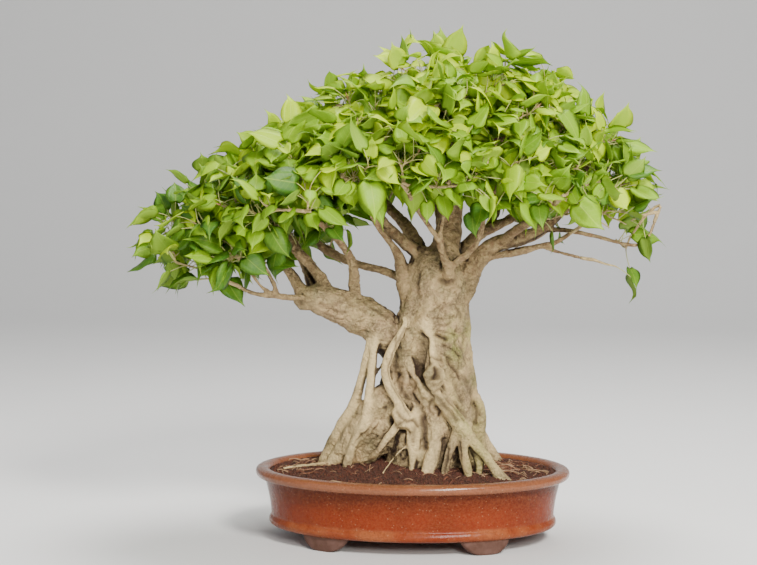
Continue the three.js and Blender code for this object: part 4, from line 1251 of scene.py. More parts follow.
@dataclass
class Wood:
    """Trunk, roots and limbs: one grown body, in a trunk piece and a limb piece that run into
    each other inside the thick limbs."""

    trunk_voxel: float = 0.00215
    limb_voxel: float = 0.0016
    route_steps: int = 8
    thick_limb: float = 0.0062
    thin_limb: float = 0.0075
    finish: BarkFinish = BarkFinish("fig_bark")
    scars: tuple[tuple[float, float, float, float], ...] = ((-81, -36, 305, 8), (-13, -36, 350, 7),
        (-12, -37, 324, 6.5), (27, -62, 238, 8.5), (14, -62, 214, 6.5), (51, -62, 384, 7),
        (-92, -26, 360, 7), (96, -22, 262, 6), (60, 44, 300, 8), (-6, 40, 250, 7))
    hollow: tuple[float, float, float, float] = (-160, -32, 336, 11)

    def curves(self, routes: dict[str, Route], kind: int) -> list[Array]:
        """Smooth curves through routes.

        Args:
            routes: the routes by name.
            kind: 0 for trunk, 1 for roots and 2 for limbs.

        Returns:
            For each, rows of place, radius, tangent, kind and length along.
        """
        curves = []
        for route in routes.values():
            raw = np.array(route, float)
            table = np.column_stack([tree_points(raw[:, :3]), raw[:, 3] * MM])
            smooth = smooth_route(table, self.route_steps)
            tangent = unit(np.gradient(smooth[:, :3], axis=0))
            steps = norms(np.diff(smooth[:, :3], axis=0))
            length = np.concatenate([[0], np.cumsum(steps)])
            curves.append(np.column_stack([smooth, tangent, np.full(len(smooth), kind), length]))
        return curves

    def split(self, curve: Array) -> float:
        """How far along a limb the trunk piece gives way to the limb piece.

        Args:
            curve: the limb's curve.

        Returns:
            The distance along it, in metres.
        """
        is_thin = curve[:, 3] < self.thin_limb
        thin = np.argmax(is_thin) if is_thin.any() else len(curve) - 1
        return float(min(max(curve[thin, 8], 0.030), curve[-1, 8] * 0.5))

    def remeshed(self, tubes: list[tuple[Array, Array]], voxel: float) -> Mesh:
        """The tubes grown together: one skin round all of them, on a grid of small cubes.

        Args:
            tubes: points and radii of each.
            voxel: side of a cube.

        Returns:
            The skin's mesh.
        """
        shapes = []
        for points, radii in tubes:
            sides = 10 if radii.max() < 0.006 else 16 if radii.max() < 0.02 else 32
            shapes.append(replace(sweep(points[None], radii[None], sides), uv=None))
        piece = Shape.joined(shapes).piece("wood_blank")
        remesh = piece.modifiers.new("grown", "REMESH")
        remesh.mode, remesh.voxel_size = "VOXEL", voxel
        return applied(piece)

    def dressed(self, name: str, mesh: Mesh, samples: Array) -> Object:
        """A bark surface from a grown skin: relaxed, then pushed along its normals by ridges, wrinkles,
        knots and grain, with what the finish reads stored on it, among it the painted shade of its
        hollows and of places that other wood closes in.

        Args:
            name: the piece's name.
            mesh: the skin.
            samples: rows of all curves.

        Returns:
            The piece.
        """
        places, edges, normals = mesh_arrays(mesh)
        places = relaxed(places, edges, rounds=5)
        set_places(mesh, places)
        normals = mesh_arrays(mesh)[2]
        owner = nearest_sample(places, samples)
        rows = samples[owner]
        height, masks = self.bark(places, normals, rows)
        places = places + normals * height[:, None]
        set_places(mesh, places)
        normals = mesh_arrays(mesh)[2]
        # Painted shade: fold grows where the surface lies below its smoothed self, and where wood stands
        # close ahead of it, as occlusion would darken it.
        for rounds, low, high in ((8, 0.0004, 0.0016), (40, 0.0018, 0.0060)):
            hollow = -along(places - relaxed(places, edges, rounds), normals)[:, 0]
            masks["fold"] = np.maximum(masks["fold"], smooth_step(low, high, hollow) * 0.68)
        for reach, share in ((0.009, 0.35), (0.024, 1.0)):
            occlusion = 1 - openness(places, normals, samples, reach)
            masks["fold"] = np.maximum(masks["fold"], smooth_step(0.62, 1.0, occlusion) * share)
        # Less painted shade on the lower left of the trunk.
        x, _, z = (places - POT_PLACE).T / MM
        calm = smooth_step(-25, -55, x) * smooth_step(235, 205, z)
        masks["fold"] *= 1 - 0.55 * calm
        soft = ("root", "rust", "limb")
        blurred = relaxed(np.column_stack([masks[key] for key in soft]), edges, 16)
        masks.update(zip(soft, blurred.T))
        store(mesh, masks)
        return finished(new_object(name, smoothed(mesh), self.finish.material()), Slot.BARK,
            "tree_wood")

    def bark(self, places: Array, normals: Array, rows: Array) -> tuple[Array, dict[str, Array]]:
        """How far the bark stands out, and the finish's masks. The grain is noise in a space
        pressed together along the wood, so it runs lengthwise, and the wrinkles are waves of
        the length along a limb.

        Args:
            places: the surface's vertices.
            normals: their normals.
            rows: the route sample that each belongs to.

        Returns:
            Heights in metres, and masks from 0 to 1 by name.
        """
        middle, radius, tangent, kind, length = (rows[:, :3], rows[:, 3], rows[:, 4:7], rows[:, 7],
            rows[:, 8])
        reach = np.clip(radius / 0.03, 0.12, 1.0)
        pressed = places - tangent * along(places - middle, tangent) * 0.75
        flowing = np.column_stack([pressed[:, 0], pressed[:, 1], places[:, 2] * 0.35])
        limb = (kind == 2).astype(float)
        height = 0.0042 * reach * noise(flowing, 0.034, 2, seed=1)
        height += 0.0026 * reach**0.5 * noise(places, 0.014, 2, seed=2)
        height += 0.0009 * reach**0.3 * noise(places, 0.0065, 2, seed=3)
        ridge = 1 - 2 * np.abs(noise(flowing, 0.017, 2, seed=4))
        height += 0.0018 * reach * (ridge - 0.3) * (1 - limb)
        wave = np.sin(2 * np.pi * (length + 0.004 * noise(places, 0.02, 1, seed=5)) / 0.0058)
        patch = smooth_step(-0.1, 0.5, noise(places, 0.04, 1, seed=6))
        height += 0.00042 * wave * limb * patch * smooth_step(0.003, 0.007, radius)
        height += 0.0007 * noise(places, 0.009, 1, seed=7) * limb * reach**0.5
        smooth = 1 - 0.75 * (kind == 1) * smooth_step(0.014, 0.010, radius)
        # fold is painted shade: the creases, the marks' grooves, the scars' pits and the hollow are
        # darkened for the shade in them.
        ring, fold = self.creases(places, flowing, reach)
        ring *= smooth
        fold *= smooth
        rise, dark = self.marks(places, normals)
        ring += rise
        fold = np.maximum(fold, dark)
        for *spot, size in self.scars:
            gap = norms(places - tree_points(np.array(spot))) / (size * MM)
            ring += np.exp(-(((gap - 0.95) / 0.42) ** 2)) * size * MM * 0.27
            ring -= np.exp(-((gap / 0.34) ** 2)) * size * MM * 0.45
            fold = np.maximum(fold, np.exp(-((gap / 0.33) ** 2)) * 0.9)
        *spot, size = self.hollow
        gap = norms(places - tree_points(np.array(spot))) / (size * MM)
        ring -= np.exp(-((gap / 0.75) ** 2)) * size * MM * 0.5
        fold = np.maximum(fold, np.exp(-((gap / 0.62) ** 2)) * 0.8)
        x, y, z = (places - POT_PLACE).T / MM
        front = smooth_step(-5, 20, -y)
        side = np.exp(-(((x - 92) / 30) ** 2)) * smooth_step(95, 200, z)
        side *= smooth_step(370, 290, z)
        moss = side * smooth_step(-0.35, 0.35, noise(places, 0.03, 2, seed=8)) * 0.75
        low = np.exp(-(((x - 100) / 22) ** 2)) * smooth_step(185, 140, z)
        moss = np.maximum(moss, 0.55 * low * front)
        bulge = np.exp(-((x - 62) / 14) ** 2 - ((z - 285) / 34) ** 2) * front
        moss = np.maximum(moss, bulge * smooth_step(-0.3, 0.2, noise(places, 0.014, 2, seed=10)))
        root = (kind == 1) * smooth_step(0.022, 0.011, radius)
        foot = 0.5 * smooth_step(230, 140, z) * (kind < 2)
        root = np.maximum(root, foot)
        root = root * smooth_step(-0.6, 0.1, noise(places, 0.035, 2, seed=9)) * 0.9
        rust = (kind == 1) * smooth_step(0.0048, 0.0030, radius) * front
        rust = rust * smooth_step(-150, -95, x) * smooth_step(-55, -80, x)
        # Painted shade: wood high under the crown takes more of the dark limb brown.
        upper = smooth_step(360, 440, z)
        return height + ring, {"fold": fold, "moss": moss, "root": root, "rust": rust,
            "limb": np.clip(limb * 0.55 + upper * 0.45, 0, 1) * (limb + upper > 0)}

    def creases(self, places: Array, flowing: Array, reach: Array) -> tuple[Array, Array]:
        """Winding creases, where a smooth noise passes through 0: long ones that run with the
        wood, and short level wrinkles in patches.

        Args:
            places: the surface's vertices.
            flowing: the same, pressed together along the wood.
            reach: how thick the wood is, from 0 to 1.

        Returns:
            Heights in metres, below 0 in a crease, and how much painted shade darkens each place.
        """
        level = places * [0.45, 0.45, 1.7]
        height = np.zeros(len(places))
        dark = np.zeros(len(places))
        for where, size, seed, depth in ((flowing, 0.030, 41, 0.0028), (level, 0.016, 44, 0.0018),
            (places, 0.012, 47, 0.0013)):
            line = smooth_step(0.085, 0.0, np.abs(noise(where, size, 2, seed=seed)))
            patch = smooth_step(-0.15, 0.25, noise(places, 0.045, 1, seed=seed + 1))
            crease = line * patch * np.sqrt(reach)
            height -= depth * crease
            dark = np.maximum(dark, 0.5 * crease)
        return height, dark

    def marks(self, places: Array, normals: Array) -> tuple[Array, Array]:
        """The marks of the trunk's front: each falls off by a bell curve of the distance from
        its line in the front view, over its half width.

        Args:
            places: the surface's vertices.
            normals: their normals.

        Returns:
            Heights in metres and how much painted shade darkens each place.
        """
        own = turned(places - POT_PLACE, -1) / MM
        face = -turned(normals, -1)[:, 1]
        front = smooth_step(0.05, 0.5, face) * smooth_step(8, -12, own[:, 1])
        seen = np.flatnonzero(front > 0)
        flat = own[seen][:, [0, 2]] + 2.2 * np.stack([noise(places[seen], 0.012, 2, seed=51),
            noise(places[seen], 0.012, 2, seed=52)], axis=-1)
        height = np.zeros(len(places))
        dark = np.zeros(len(places))
        for line, width, rise, shade in MARKS:
            gap = np.full(len(seen), np.inf)
            for start, end in zip(np.array(line[:-1], float), np.array(line[1:], float)):
                way = end - start
                share = np.clip((flat - start) @ way / (way @ way), 0, 1)
                gap = np.minimum(gap, norms(flat - start - share[:, None] * way))
            bell = np.exp(-((gap / width) ** 2)) * front[seen]
            height[seen] += bell * rise * MM
            dark[seen] = np.maximum(dark[seen], bell * shade)
        return height, dark

    def build(self) -> list[Object]:
        """The trunk piece and the limb piece.

        Returns:
            Both pieces.
        """
        stems = self.curves(TRUNK, 0) + self.curves(ROOTS, 1)
        branches = self.curves(LIMBS, 2)
        trunk = [(curve[:, :3], curve[:, 3]) for curve in stems]
        limbs = []
        for curve in branches:
            places, radii, length = curve[:, :3], curve[:, 3], curve[:, 8]
            if radii[0] > self.thick_limb:
                end = self.split(curve)
                inner, outer = length < end + 0.008, length > end - 0.018
                ease = 1 - 0.8 * smooth_step(end - 0.004, end + 0.006, length[inner])
                trunk.append((places[inner], radii[inner] * ease))
                ease = smooth_step(end - 0.022, end - 0.006, length[outer])
                limbs.append((places[outer], radii[outer] * (0.3 + 0.7 * ease)))
            else:
                limbs.append((places, radii))
        samples = np.vstack(stems + branches)
        return [self.dressed("trunk_and_roots", self.remeshed(trunk, self.trunk_voxel), samples),
            self.dressed("limbs", self.remeshed(limbs, self.limb_voxel), samples)]


def mesh_arrays(mesh: Mesh) -> tuple[Array, Array, Array]:
    """A mesh's vertices, its edges and the vertices' normals.

    Args:
        mesh: the mesh.

    Returns:
        Places, pairs of vertices, and normals.
    """
    places = np.zeros(len(mesh.vertices) * 3, np.float32)
    mesh.vertices.foreach_get("co", places)
    edges = np.zeros(len(mesh.edges) * 2, np.int32)
    mesh.edges.foreach_get("vertices", edges)
    normals = np.zeros(len(mesh.vertices) * 3, np.float32)
    mesh.vertex_normals.foreach_get("vector", normals)
    return (places.reshape(-1, 3).astype(float), edges.reshape(-1, 2),
        normals.reshape(-1, 3).astype(float))


def smoothed(mesh: Mesh) -> Mesh:
    """The mesh with smooth shading and no material.

    Args:
        mesh: the mesh.

    Returns:
        The same mesh.
    """
    mesh.polygons.foreach_set("use_smooth", np.ones(len(mesh.polygons), bool))
    mesh.materials.clear()
    return mesh


def set_places(mesh: Mesh, places: Array) -> None:
    """Moves a mesh's vertices."""
    mesh.vertices.foreach_set("co", places.astype(np.float32).ravel())
    mesh.update()


def relaxed(places: Array, edges: Array, rounds: int, strength: float = 0.5) -> Array:
    """Vertices drawn towards the mean of their neighbours, again and again.

    Args:
        places: the vertices.
        edges: pairs of neighbours.
        rounds: how many times.
        strength: how far each time.

    Returns:
        The moved vertices.
    """
    count = len(places)
    a, b = edges[:, 0], edges[:, 1]
    near = np.bincount(a, minlength=count) + np.bincount(b, minlength=count)
    near = np.maximum(near, 1)[:, None]
    for _ in range(rounds):
        total = np.stack([np.bincount(a, places[b, i], count) + np.bincount(b, places[a, i], count)
            for i in range(3)], axis=-1)
        places = places + strength * (total / near - places)
    return places


def nearest_sample(places: Array, samples: Array) -> Array:
    """For each place, the route sample whose surface is nearest: the least distance to the
    route's line less the radius there.

    Args:
        places: the vertices.
        samples: rows that start with place and radius.

    Returns:
        The sample's number for each vertex.
    """
    middles = samples[:, :3].astype(np.float32)
    radii = samples[:, 3].astype(np.float32)
    sizes = (middles**2).sum(axis=1)
    result = np.zeros(len(places), int)
    for start in range(0, len(places), CHUNK):
        part = places[start : start + CHUNK].astype(np.float32)
        square = (part**2).sum(axis=1)[:, None] - 2 * part @ middles.T + sizes
        result[start : start + CHUNK] = np.argmin(np.sqrt(np.maximum(square, 0)) - radii, axis=1)
    return result


def openness(places: Array, normals: Array, samples: Array, reach: float) -> Array:
    """How open the space before each vertex is: the distance to the nearest wood from a point
    that lies one reach ahead, over the reach.

    Args:
        places: the vertices.
        normals: their normals.
        samples: rows that start with place and radius.
        reach: how far ahead, in metres.

    Returns:
        Shares from 0 to 1.
    """
    ahead = places + normals * reach
    near = samples[nearest_sample(ahead, samples)]
    return np.clip((norms(ahead - near[:, :3]) - near[:, 3]) / reach, 0, 1)


# --- crown


@dataclass
class Twigs:
    """Twigs as arrays: places and radii of their rings, the outward direction at the tip, and
    the limb that each belongs to."""

    points: Array
    radii: Array
    outward: Array
    limb: Array


@dataclass
class Crown:
    """The leafy crown: twigs that branch from the limbs' ends, and leaves round their tips."""

    middle: tuple[float, float, float] = (-17, 0, 430)
    half: tuple[float, float, float] = (386, 280, 307)
    lean: float = 90
    slope: float = 0.10
    left_slope: float = 0.075
    flat_top: float = 0.025
    lowest: float = -0.17
    highest: float = 0.985
    main_tips: int = 56
    spiral_start: float = 0.55
    rim_lift: float = 0.5
    reach: float = 0.85
    outer_reach: float = 0.83
    inner_reach: float = 0.60
    outer_tips: int = 146
    inner_tips: int = 62
    low_tips: int = 30
    rings: int = 11
    twig_radius: float = 1.8
    bark: BarkFinish = BarkFinish("fig_bark")

    def point(self, direction: Array, share: Array) -> Array:
        """A point of the crown, in metres: a leaning half egg.

        Args:
            direction: u, v, w of length 1 in the last axis.
            share: how far out, 1 at the surface.

        Returns:
            The places in the part's frame.
        """
        u, v, w = direction[..., 0], direction[..., 1], direction[..., 2]
        local = stacked(self.middle[0] + share * (self.half[0] * u + self.lean * w), self.middle[1]
            + share * self.half[1] * v, self.middle[2] + share * self.half[2] * w)
        return tree_points(local)

    def share(self, places: Array) -> Array:
        """How far out places lie, 1 at the crown's surface: point() the other way round.

        Args:
            places: where, last axis x, y, z.

        Returns:
            The shares.
        """
        own = turned(places - POT_PLACE, -1) / MM - np.array(self.middle)
        up = own[..., 2] / self.half[2]
        return np.sqrt(((own[..., 0] - self.lean * up) / self.half[0]) ** 2
            + (own[..., 1] / self.half[1]) ** 2 + up**2)

    def normal(self, direction: Array) -> Array:
        """The outward direction of the crown's surface.

        Args:
            direction: u, v, w in the last axis.

        Returns:
            Directions of length 1.
        """
        u, v, w = direction[..., 0], direction[..., 1], direction[..., 2]
        return turned(unit(stacked(u / self.half[0], v / self.half[1],
            (w - u * self.lean / self.half[0]) / self.half[2])))

    def spiral(self, count: int, start: float, low: float, high: float) -> Array:
        """Directions on a golden-angle spiral, as u, v, w. Its foot is higher by the rim's lift
        times the angle's sine squared, so the crown's front and back are open below.

        Args:
            count: how many.
            start: where it starts, in turns.
            low: w at its foot.
            high: w at its top.

        Returns:
            The directions.
        """
        i = np.arange(count)
        angle = 2 * np.pi * (GOLDEN * i + start)
        rim = low + self.rim_lift * np.sin(angle) ** 2
        w = rim + (high - rim) * (i + 0.5) / count
        flat = np.sqrt(1 - w * w)
        return stacked(flat * np.cos(angle), flat * np.sin(angle), w)

    def under_tips(self) -> tuple[Array, Array]:
        """Tips low down on the left, where the crown hangs over the wide limb, and their
        outward directions. They stand from just above the hem to 90 mm over it.

        Returns:
            The tips and the directions.
        """
        i = np.arange(self.low_tips)
        across, height = zip(*HEM)
        x = -318 + 215 * (i + 0.5) / self.low_tips
        y = 300 * (spread(i, 2.9) - 0.5) * (1 - 0.4 * np.abs(x + 210) / 110)
        z = np.interp(x, across, height) + 20 + 80 * spread(i, 6.3)
        outward = unit(stacked((x + 90) / 230, y / 130, 0.15 + 0 * x))
        return tree_points(stacked(x, y, z)), turned(outward)

    def shares(self, direction: Array, reach: float, wobble: float) -> Array:
        """How far out each tip of a spiral lies.

        Args:
            direction: the spiral's directions.
            reach: how far out most lie.
            wobble: how much that varies.

        Returns:
            The shares.
        """
        w = direction[:, 2]
        shoulder = 2 * np.maximum(-direction[:, 0], 0) * np.maximum(w, 0)
        level = 1 - self.slope * 4 * w * w * (1 - w * w) - self.left_slope * shoulder
        level -= self.flat_top * np.maximum(w, 0) ** 4
        return reach * level + wobble * (spread(np.arange(len(w)), 3.1) - 0.5)

    def limb_ends(self) -> tuple[Array, Array, Array]:
        """The limbs' last points, their directions and radii.

        Returns:
            One row for each limb.
        """
        last = np.array([route[-2:] for route in LIMBS.values()], float)
        points = tree_points(last[:, 1, :3])
        direction = unit(points - tree_points(last[:, 0, :3]))
        return points, direction, last[:, 1, 3] * MM

    def main_twigs(self) -> Twigs:
        """The twigs that the model's shoots have. Each tip grows from the limb end that is near
        and points its way, and an end that gets none carries a short twig of its own. The first
        twig of an end goes on from the limb, and the others fork from its foot.

        Returns:
            The twigs.
        """
        ends, ways, radii = self.limb_ends()
        direction = self.spiral(self.main_tips, self.spiral_start, self.lowest, self.highest)
        tips = self.point(direction, self.shares(direction, self.reach, 0.04))
        outward = self.normal(direction)
        gap = tips[:, None] - ends[None]
        detour = norms(gap) * 1.4 - (gap * ways[None]).sum(axis=2) * 0.4
        owner = np.argmin(detour, axis=1)
        bare = np.setdiff1d(np.arange(len(ends)), owner)
        tips = np.vstack([tips, ends[bare] + ways[bare] * 0.050])
        outward = np.vstack([outward, ways[bare]])
        owner = np.concatenate([owner, bare])
        turn = np.arccos(np.clip((unit(tips - ends[owner]) * ways[owner]).sum(axis=1), -1, 1))
        order = np.zeros(len(tips), int)
        ranked = np.lexsort((turn, owner))
        first = np.searchsorted(owner[ranked], np.arange(len(ends)))
        order[ranked] = np.arange(len(tips)) - first[owner[ranked]]
        start = ends[owner] + ways[owner] * (order * 0.004)[:, None]
        reach = norms(tips - start)[:, None]
        shoulder = start + ways[owner] * np.maximum(reach * 0.25, 0.014)
        half = (shoulder + tips) / 2 - outward * reach * 0.12
        lead = (order == 0)[:, None]
        size = self.twig_radius * MM
        foot = np.where(lead[:, 0], radii[owner] * 0.97, size * 1.25)
        knee = np.where(lead[:, 0], size * 1.6, size * 1.2)
        routes = np.stack([np.column_stack([start, foot]), np.column_stack([shoulder, knee]),
            np.column_stack([half, np.full(len(tips), size * 1.1)]),
            np.column_stack([tips, np.full(len(tips), size * 0.65)])], axis=1)
        return self.drawn(routes, outward, owner)

    def drawn(self, routes: Array, outward: Array, limb: Array) -> Twigs:
        """Twigs with smooth paths from their few route points.

        Args:
            routes: twigs by points by x, y, z and radius.
            outward: outward direction at each tip.
            limb: the limb of each.

        Returns:
            The twigs.
        """
        flat = np.moveaxis(routes, 0, 1).reshape(routes.shape[1], -1)
        smooth = smooth_route(flat, 4).reshape(-1, len(routes), 4)
        table = np.moveaxis(smooth, 1, 0)
        middle = np.sin(np.linspace(0, np.pi, table.shape[1]))[None, :, None]
        shake = np.stack([noise(table[..., :3], 0.03, 2, seed=21 + i) for i in range(3)], axis=-1)
        return Twigs(table[..., :3] + shake * middle * 0.006, table[..., 3], outward, limb)

    def side_twigs(self, main: Twigs) -> Twigs:
        """Further twigs that fill the crown. Each grows from the wood that is near its tip and
        lies inward of it, and later ones can grow from earlier ones.

        Args:
            main: what main_twigs() gives.

        Returns:
            The further twigs.
        """
        outer = self.spiral(self.outer_tips, 0.2, self.lowest + 0.06, 0.985)
        inner = self.spiral(self.inner_tips, 0.83, self.lowest + 0.16, 0.95)
        below, below_out = self.under_tips()
        tips = np.vstack([self.point(inner, self.shares(inner, self.inner_reach, 0.2)), below,
            self.point(outer, self.shares(outer, self.outer_reach, 0.12))])
        outward = np.vstack([self.normal(inner), below_out, self.normal(outer)])
        heart = self.point(np.array([0.0, 0.0, 0.12]), np.array(1.0))
        places = [main.points[:, 2:-1].reshape(-1, 3)]
        tangents = [unit(np.gradient(main.points, axis=1))[:, 2:-1].reshape(-1, 3)]
        limbs = [np.repeat(main.limb, main.points.shape[1] - 3)]
        for i, route in enumerate(LIMBS.values()):
            curve = smooth_route(np.array(route, float), 4)[len(route) :]
            place = tree_points(curve[:, :3])
            places.append(place)
            tangents.append(unit(np.gradient(place, axis=0)))
            limbs.append(np.full(len(place), i))
        place, tangent = np.vstack(places), np.vstack(tangents)
        limb = np.concatenate(limbs)
        routes = []
        owners = []
        for tip, out in zip(tips, outward):
            way = tip - place
            far = norms(way)
            bend = 1 - (way * tangent).sum(axis=1) / np.maximum(far, 1e-6)
            inward = norms(place - heart) > np.linalg.norm(tip - heart)
            cost = far * (1 + 0.5 * bend) + np.maximum(0.02 - far, 0) * 4 + inward * 0.05
            best = int(np.argmin(cost))
            start, lead, reach = place[best], tangent[best], far[best]
            knee = start + unit(lead + 0.7 * unit(way[best])) * reach * 0.3
            half = (knee + tip) / 2 - out * reach * 0.1
            size = self.twig_radius * MM * min(1.0, 0.6 + reach * 3)
            route = np.array([[*start, size], [*knee, size * 0.95], [*half, size * 0.85],
                [*tip, size * 0.6]])
            routes.append(route)
            owners.append(limb[best])
            fresh = smooth_route(route, 4)[4:-1, :3]
            place = np.vstack([place, fresh])
            tangent = np.vstack([tangent, unit(np.gradient(fresh, axis=0))])
            limb = np.concatenate([limb, np.full(len(fresh), limb[best])])
        return self.drawn(np.array(routes), outward, np.array(owners))

    def build(self) -> list[Object]:
        """The twigs, and the leaves with their stalks in five sectors.

        Returns:
            The pieces.
        """
        main = self.main_twigs()
        side = self.side_twigs(main)
        twigs = Twigs(*(np.concatenate([getattr(main, name), getattr(side, name)]) for name
            in ("points", "radii", "outward", "limb")))
        pieces = [self.twig_piece(twigs)]
        foliage = Foliage(twigs, self)
        pieces += foliage.build()
        return pieces

    def twig_piece(self, twigs: Twigs) -> Object:
        """All twigs as one piece of young bark.

        Args:
            twigs: the twigs.

        Returns:
            The piece.
        """
        shape = sweep(twigs.points, twigs.radii, 6)
        count = len(shape.vertices)
        fresh = smooth_step(0.0019, 0.0011, np.repeat(twigs.radii, 6, axis=1))
        ends = np.zeros((len(fresh), 2))
        shape.values = {"limb": np.full(count, 0.15), "fold": np.zeros(count),
            "moss": np.concatenate([fresh, ends], axis=1).ravel() * 0.35, "root": np.full(count, 0.55),
            "rust": np.zeros(count)}
        piece = shape.piece("twigs", self.bark.material())
        return finished(piece, Slot.BARK, *SHOOT_NODES)


@dataclass
class Foliage:
    """Leaves, stalks and buds of all twigs."""

    twigs: Twigs
    crown: Crown
    leaves_each: int = 8
    length: float = 0.052
    width: float = 0.41
    stalk: float = 0.021
    columns: int = 5
    stray: float = 0.16
    least_size: float = 0.58
    size_range: float = 0.46
    young_smaller: float = 0.16
    front_smaller: float = 0.13
    lone_limbs: tuple[str, ...] = ("lower_right_tip", "long_right")
    leaf: LeafFinish = LeafFinish("fig_leaf")
    green: StalkFinish = StalkFinish("leaf_stalk")

    def stance(self) -> dict[str, Array]:
        """Where each leaf of the crown sits and how it stands. Leaves turn round the twig by
        the golden angle. A stalk leaves between the twig's way and its own side, then the blade
        hangs over, with its upper face outwards. Leaves that would hang below the crown's hem
        are left out, but for a few strays, so the limbs show.

        Returns:
            Arrays with one row for each leaf.
        """
        twigs = self.twigs
        count = len(twigs.limb)
        each = self.leaves_each + (spread(np.arange(count), 2.3) * 3).astype(int) - 1
        twig = np.repeat(np.arange(count), each)
        k = np.concatenate([np.arange(n) for n in each])
        seed = twig * 11.0 + k
        path = twigs.points[twig]
        reach = norms(np.diff(path, axis=1)).sum(axis=1)
        back = np.minimum(0.075, reach * 0.8) / reach
        share = 1 - back * (k / np.maximum(each[twig] - 1, 1)) ** 1.1
        slot = share * (path.shape[1] - 1)
        low = np.minimum(slot.astype(int), path.shape[1] - 2)
        rows = np.arange(len(twig))
        part = (slot - low)[:, None]
        start = path[rows, low] * (1 - part) + path[rows, low + 1] * part
        axis = unit(path[rows, low + 1] - path[rows, low])
        outward = twigs.outward[twig]
        side = unit(np.cross(UP + 0.01, outward))
        side = unit(side - along(side, axis) * axis)
        up = np.cross(axis, side)
        angle = 2 * np.pi * (GOLDEN * k + spread(twig, 3.0) + 0.1 * spread(seed, 5.3))[:, None]
        fan = side * np.cos(angle) + up * np.sin(angle)
        tip_near = (1 - k / self.leaves_each)[:, None]
        stalk = unit(fan * 0.9 + axis * (0.35 + 0.5 * tip_near) + outward * 0.3 + UP * 0.3)
        tilt = np.stack([spread(seed, s) - 0.5 for s in (5.9, 7.1, 8.3)], axis=-1)
        low = smooth_step(0.62, 0.36, start[:, 2])
        high = smooth_step(0.50, 0.68, start[:, 2])
        droop = (1.05 * spread(seed, 2.7) - 0.15) * (1 - 0.45 * low) + 0.32 * high
        blade = unit(fan + outward * 0.5 - UP * droop[:, None] + tilt * 0.8)
        young = np.clip(1 - k / 3.2, 0, 1) * spread(seed, 4.1)
        size = self.least_size + self.size_range * spread(seed, 7.7) ** 1.4
        size -= self.young_smaller * young
        size *= 1 - self.front_smaller * smooth_step(-0.13, -0.23, start[:, 1])
        end = start + stalk * self.stalk + blade * (size * self.length)[:, None]
        over = np.clip(self.crown.share(end) - 0.97, 0, 0.2)[:, None]
        blade = unit(blade - outward * over * 7 - UP * over * 2)
        facing = outward * 0.6 + UP * 0.75 + tilt[:, ::-1] * 1.7
        face = unit(facing - along(facing, blade) * blade)
        stand = {"twig": twig, "start": start, "stalk": stalk, "axis": blade, "face": face,
            "size": size, "young": young, "seed": seed}
        own = turned(start + blade * (size * self.length)[:, None] - POT_PLACE, -1) / MM
        across, height = zip(*HEM)
        over = own[:, 2] - np.interp(own[:, 0], across, height)
        kept = over > 26 * (spread(seed, 3.3) - 0.6)
        kept |= (spread(seed, 4.7) < self.stray) & (over > -48)
        lone = [list(LIMBS).index(name) for name in self.lone_limbs]
        kept |= np.isin(twigs.limb[twig], lone) & (k < 1)
        return {key: value[kept] for key, value in stand.items()}

    def tones(self, stand: dict[str, Array]) -> Array:
        """How young each leaf looks, with painted light on the crown's top and outside and painted shade
        deep inside and low down: near 1 at the top and at the tips, near 0 deep inside.

        Args:
            stand: what stance() gives.

        Returns:
            One tone for each leaf.
        """
        start = stand["start"]
        # Painted light and shade: leaves high up and on the crown's outside get a lighter tone, and
        # leaves low down a darker one.
        high = smooth_step(0.36, 0.70, start[:, 2])
        middle = POT_PLACE + [0.02, 0.0, 0.40]
        out = norms((start - middle) / [0.38, 0.28, 0.30])
        lit = smooth_step(0.45, 0.95, out)
        tone = 0.01 + 0.25 * lit + 0.47 * high + 0.48 * stand["young"]
        tone -= 0.22 * smooth_step(0.52, 0.42, start[:, 2])
        return np.clip(tone + 0.62 * (spread(stand["seed"], 9.1) - 0.5) * (0.4 + lit), 0, 1)

    def stalk_paths(self, stand: dict[str, Array]) -> tuple[Array, Array]:
        """Paths of the leaf stalks: from the twig along the stalk's way, sinking a little, and
        turning into the blade.

        Args:
            stand: what stance() gives.

        Returns:
            Five places and radii for each leaf.
        """
        length = self.stalk * (0.75 + 0.5 * spread(stand["seed"], 6.3))[:, None]
        start, way, axis = stand["start"], stand["stalk"], stand["axis"]
        t = np.array([0.0, 0.3, 0.6, 0.85, 1.0])[None, :, None]
        bow = (way * length)[:, None] * t + (axis * length * 0.35)[:, None] * t**3
        radii = np.array([0.00085, 0.0006, 0.00055, 0.0006, 0.0005])
        return start[:, None] + bow, np.broadcast_to(radii, (len(start), 5)).copy()

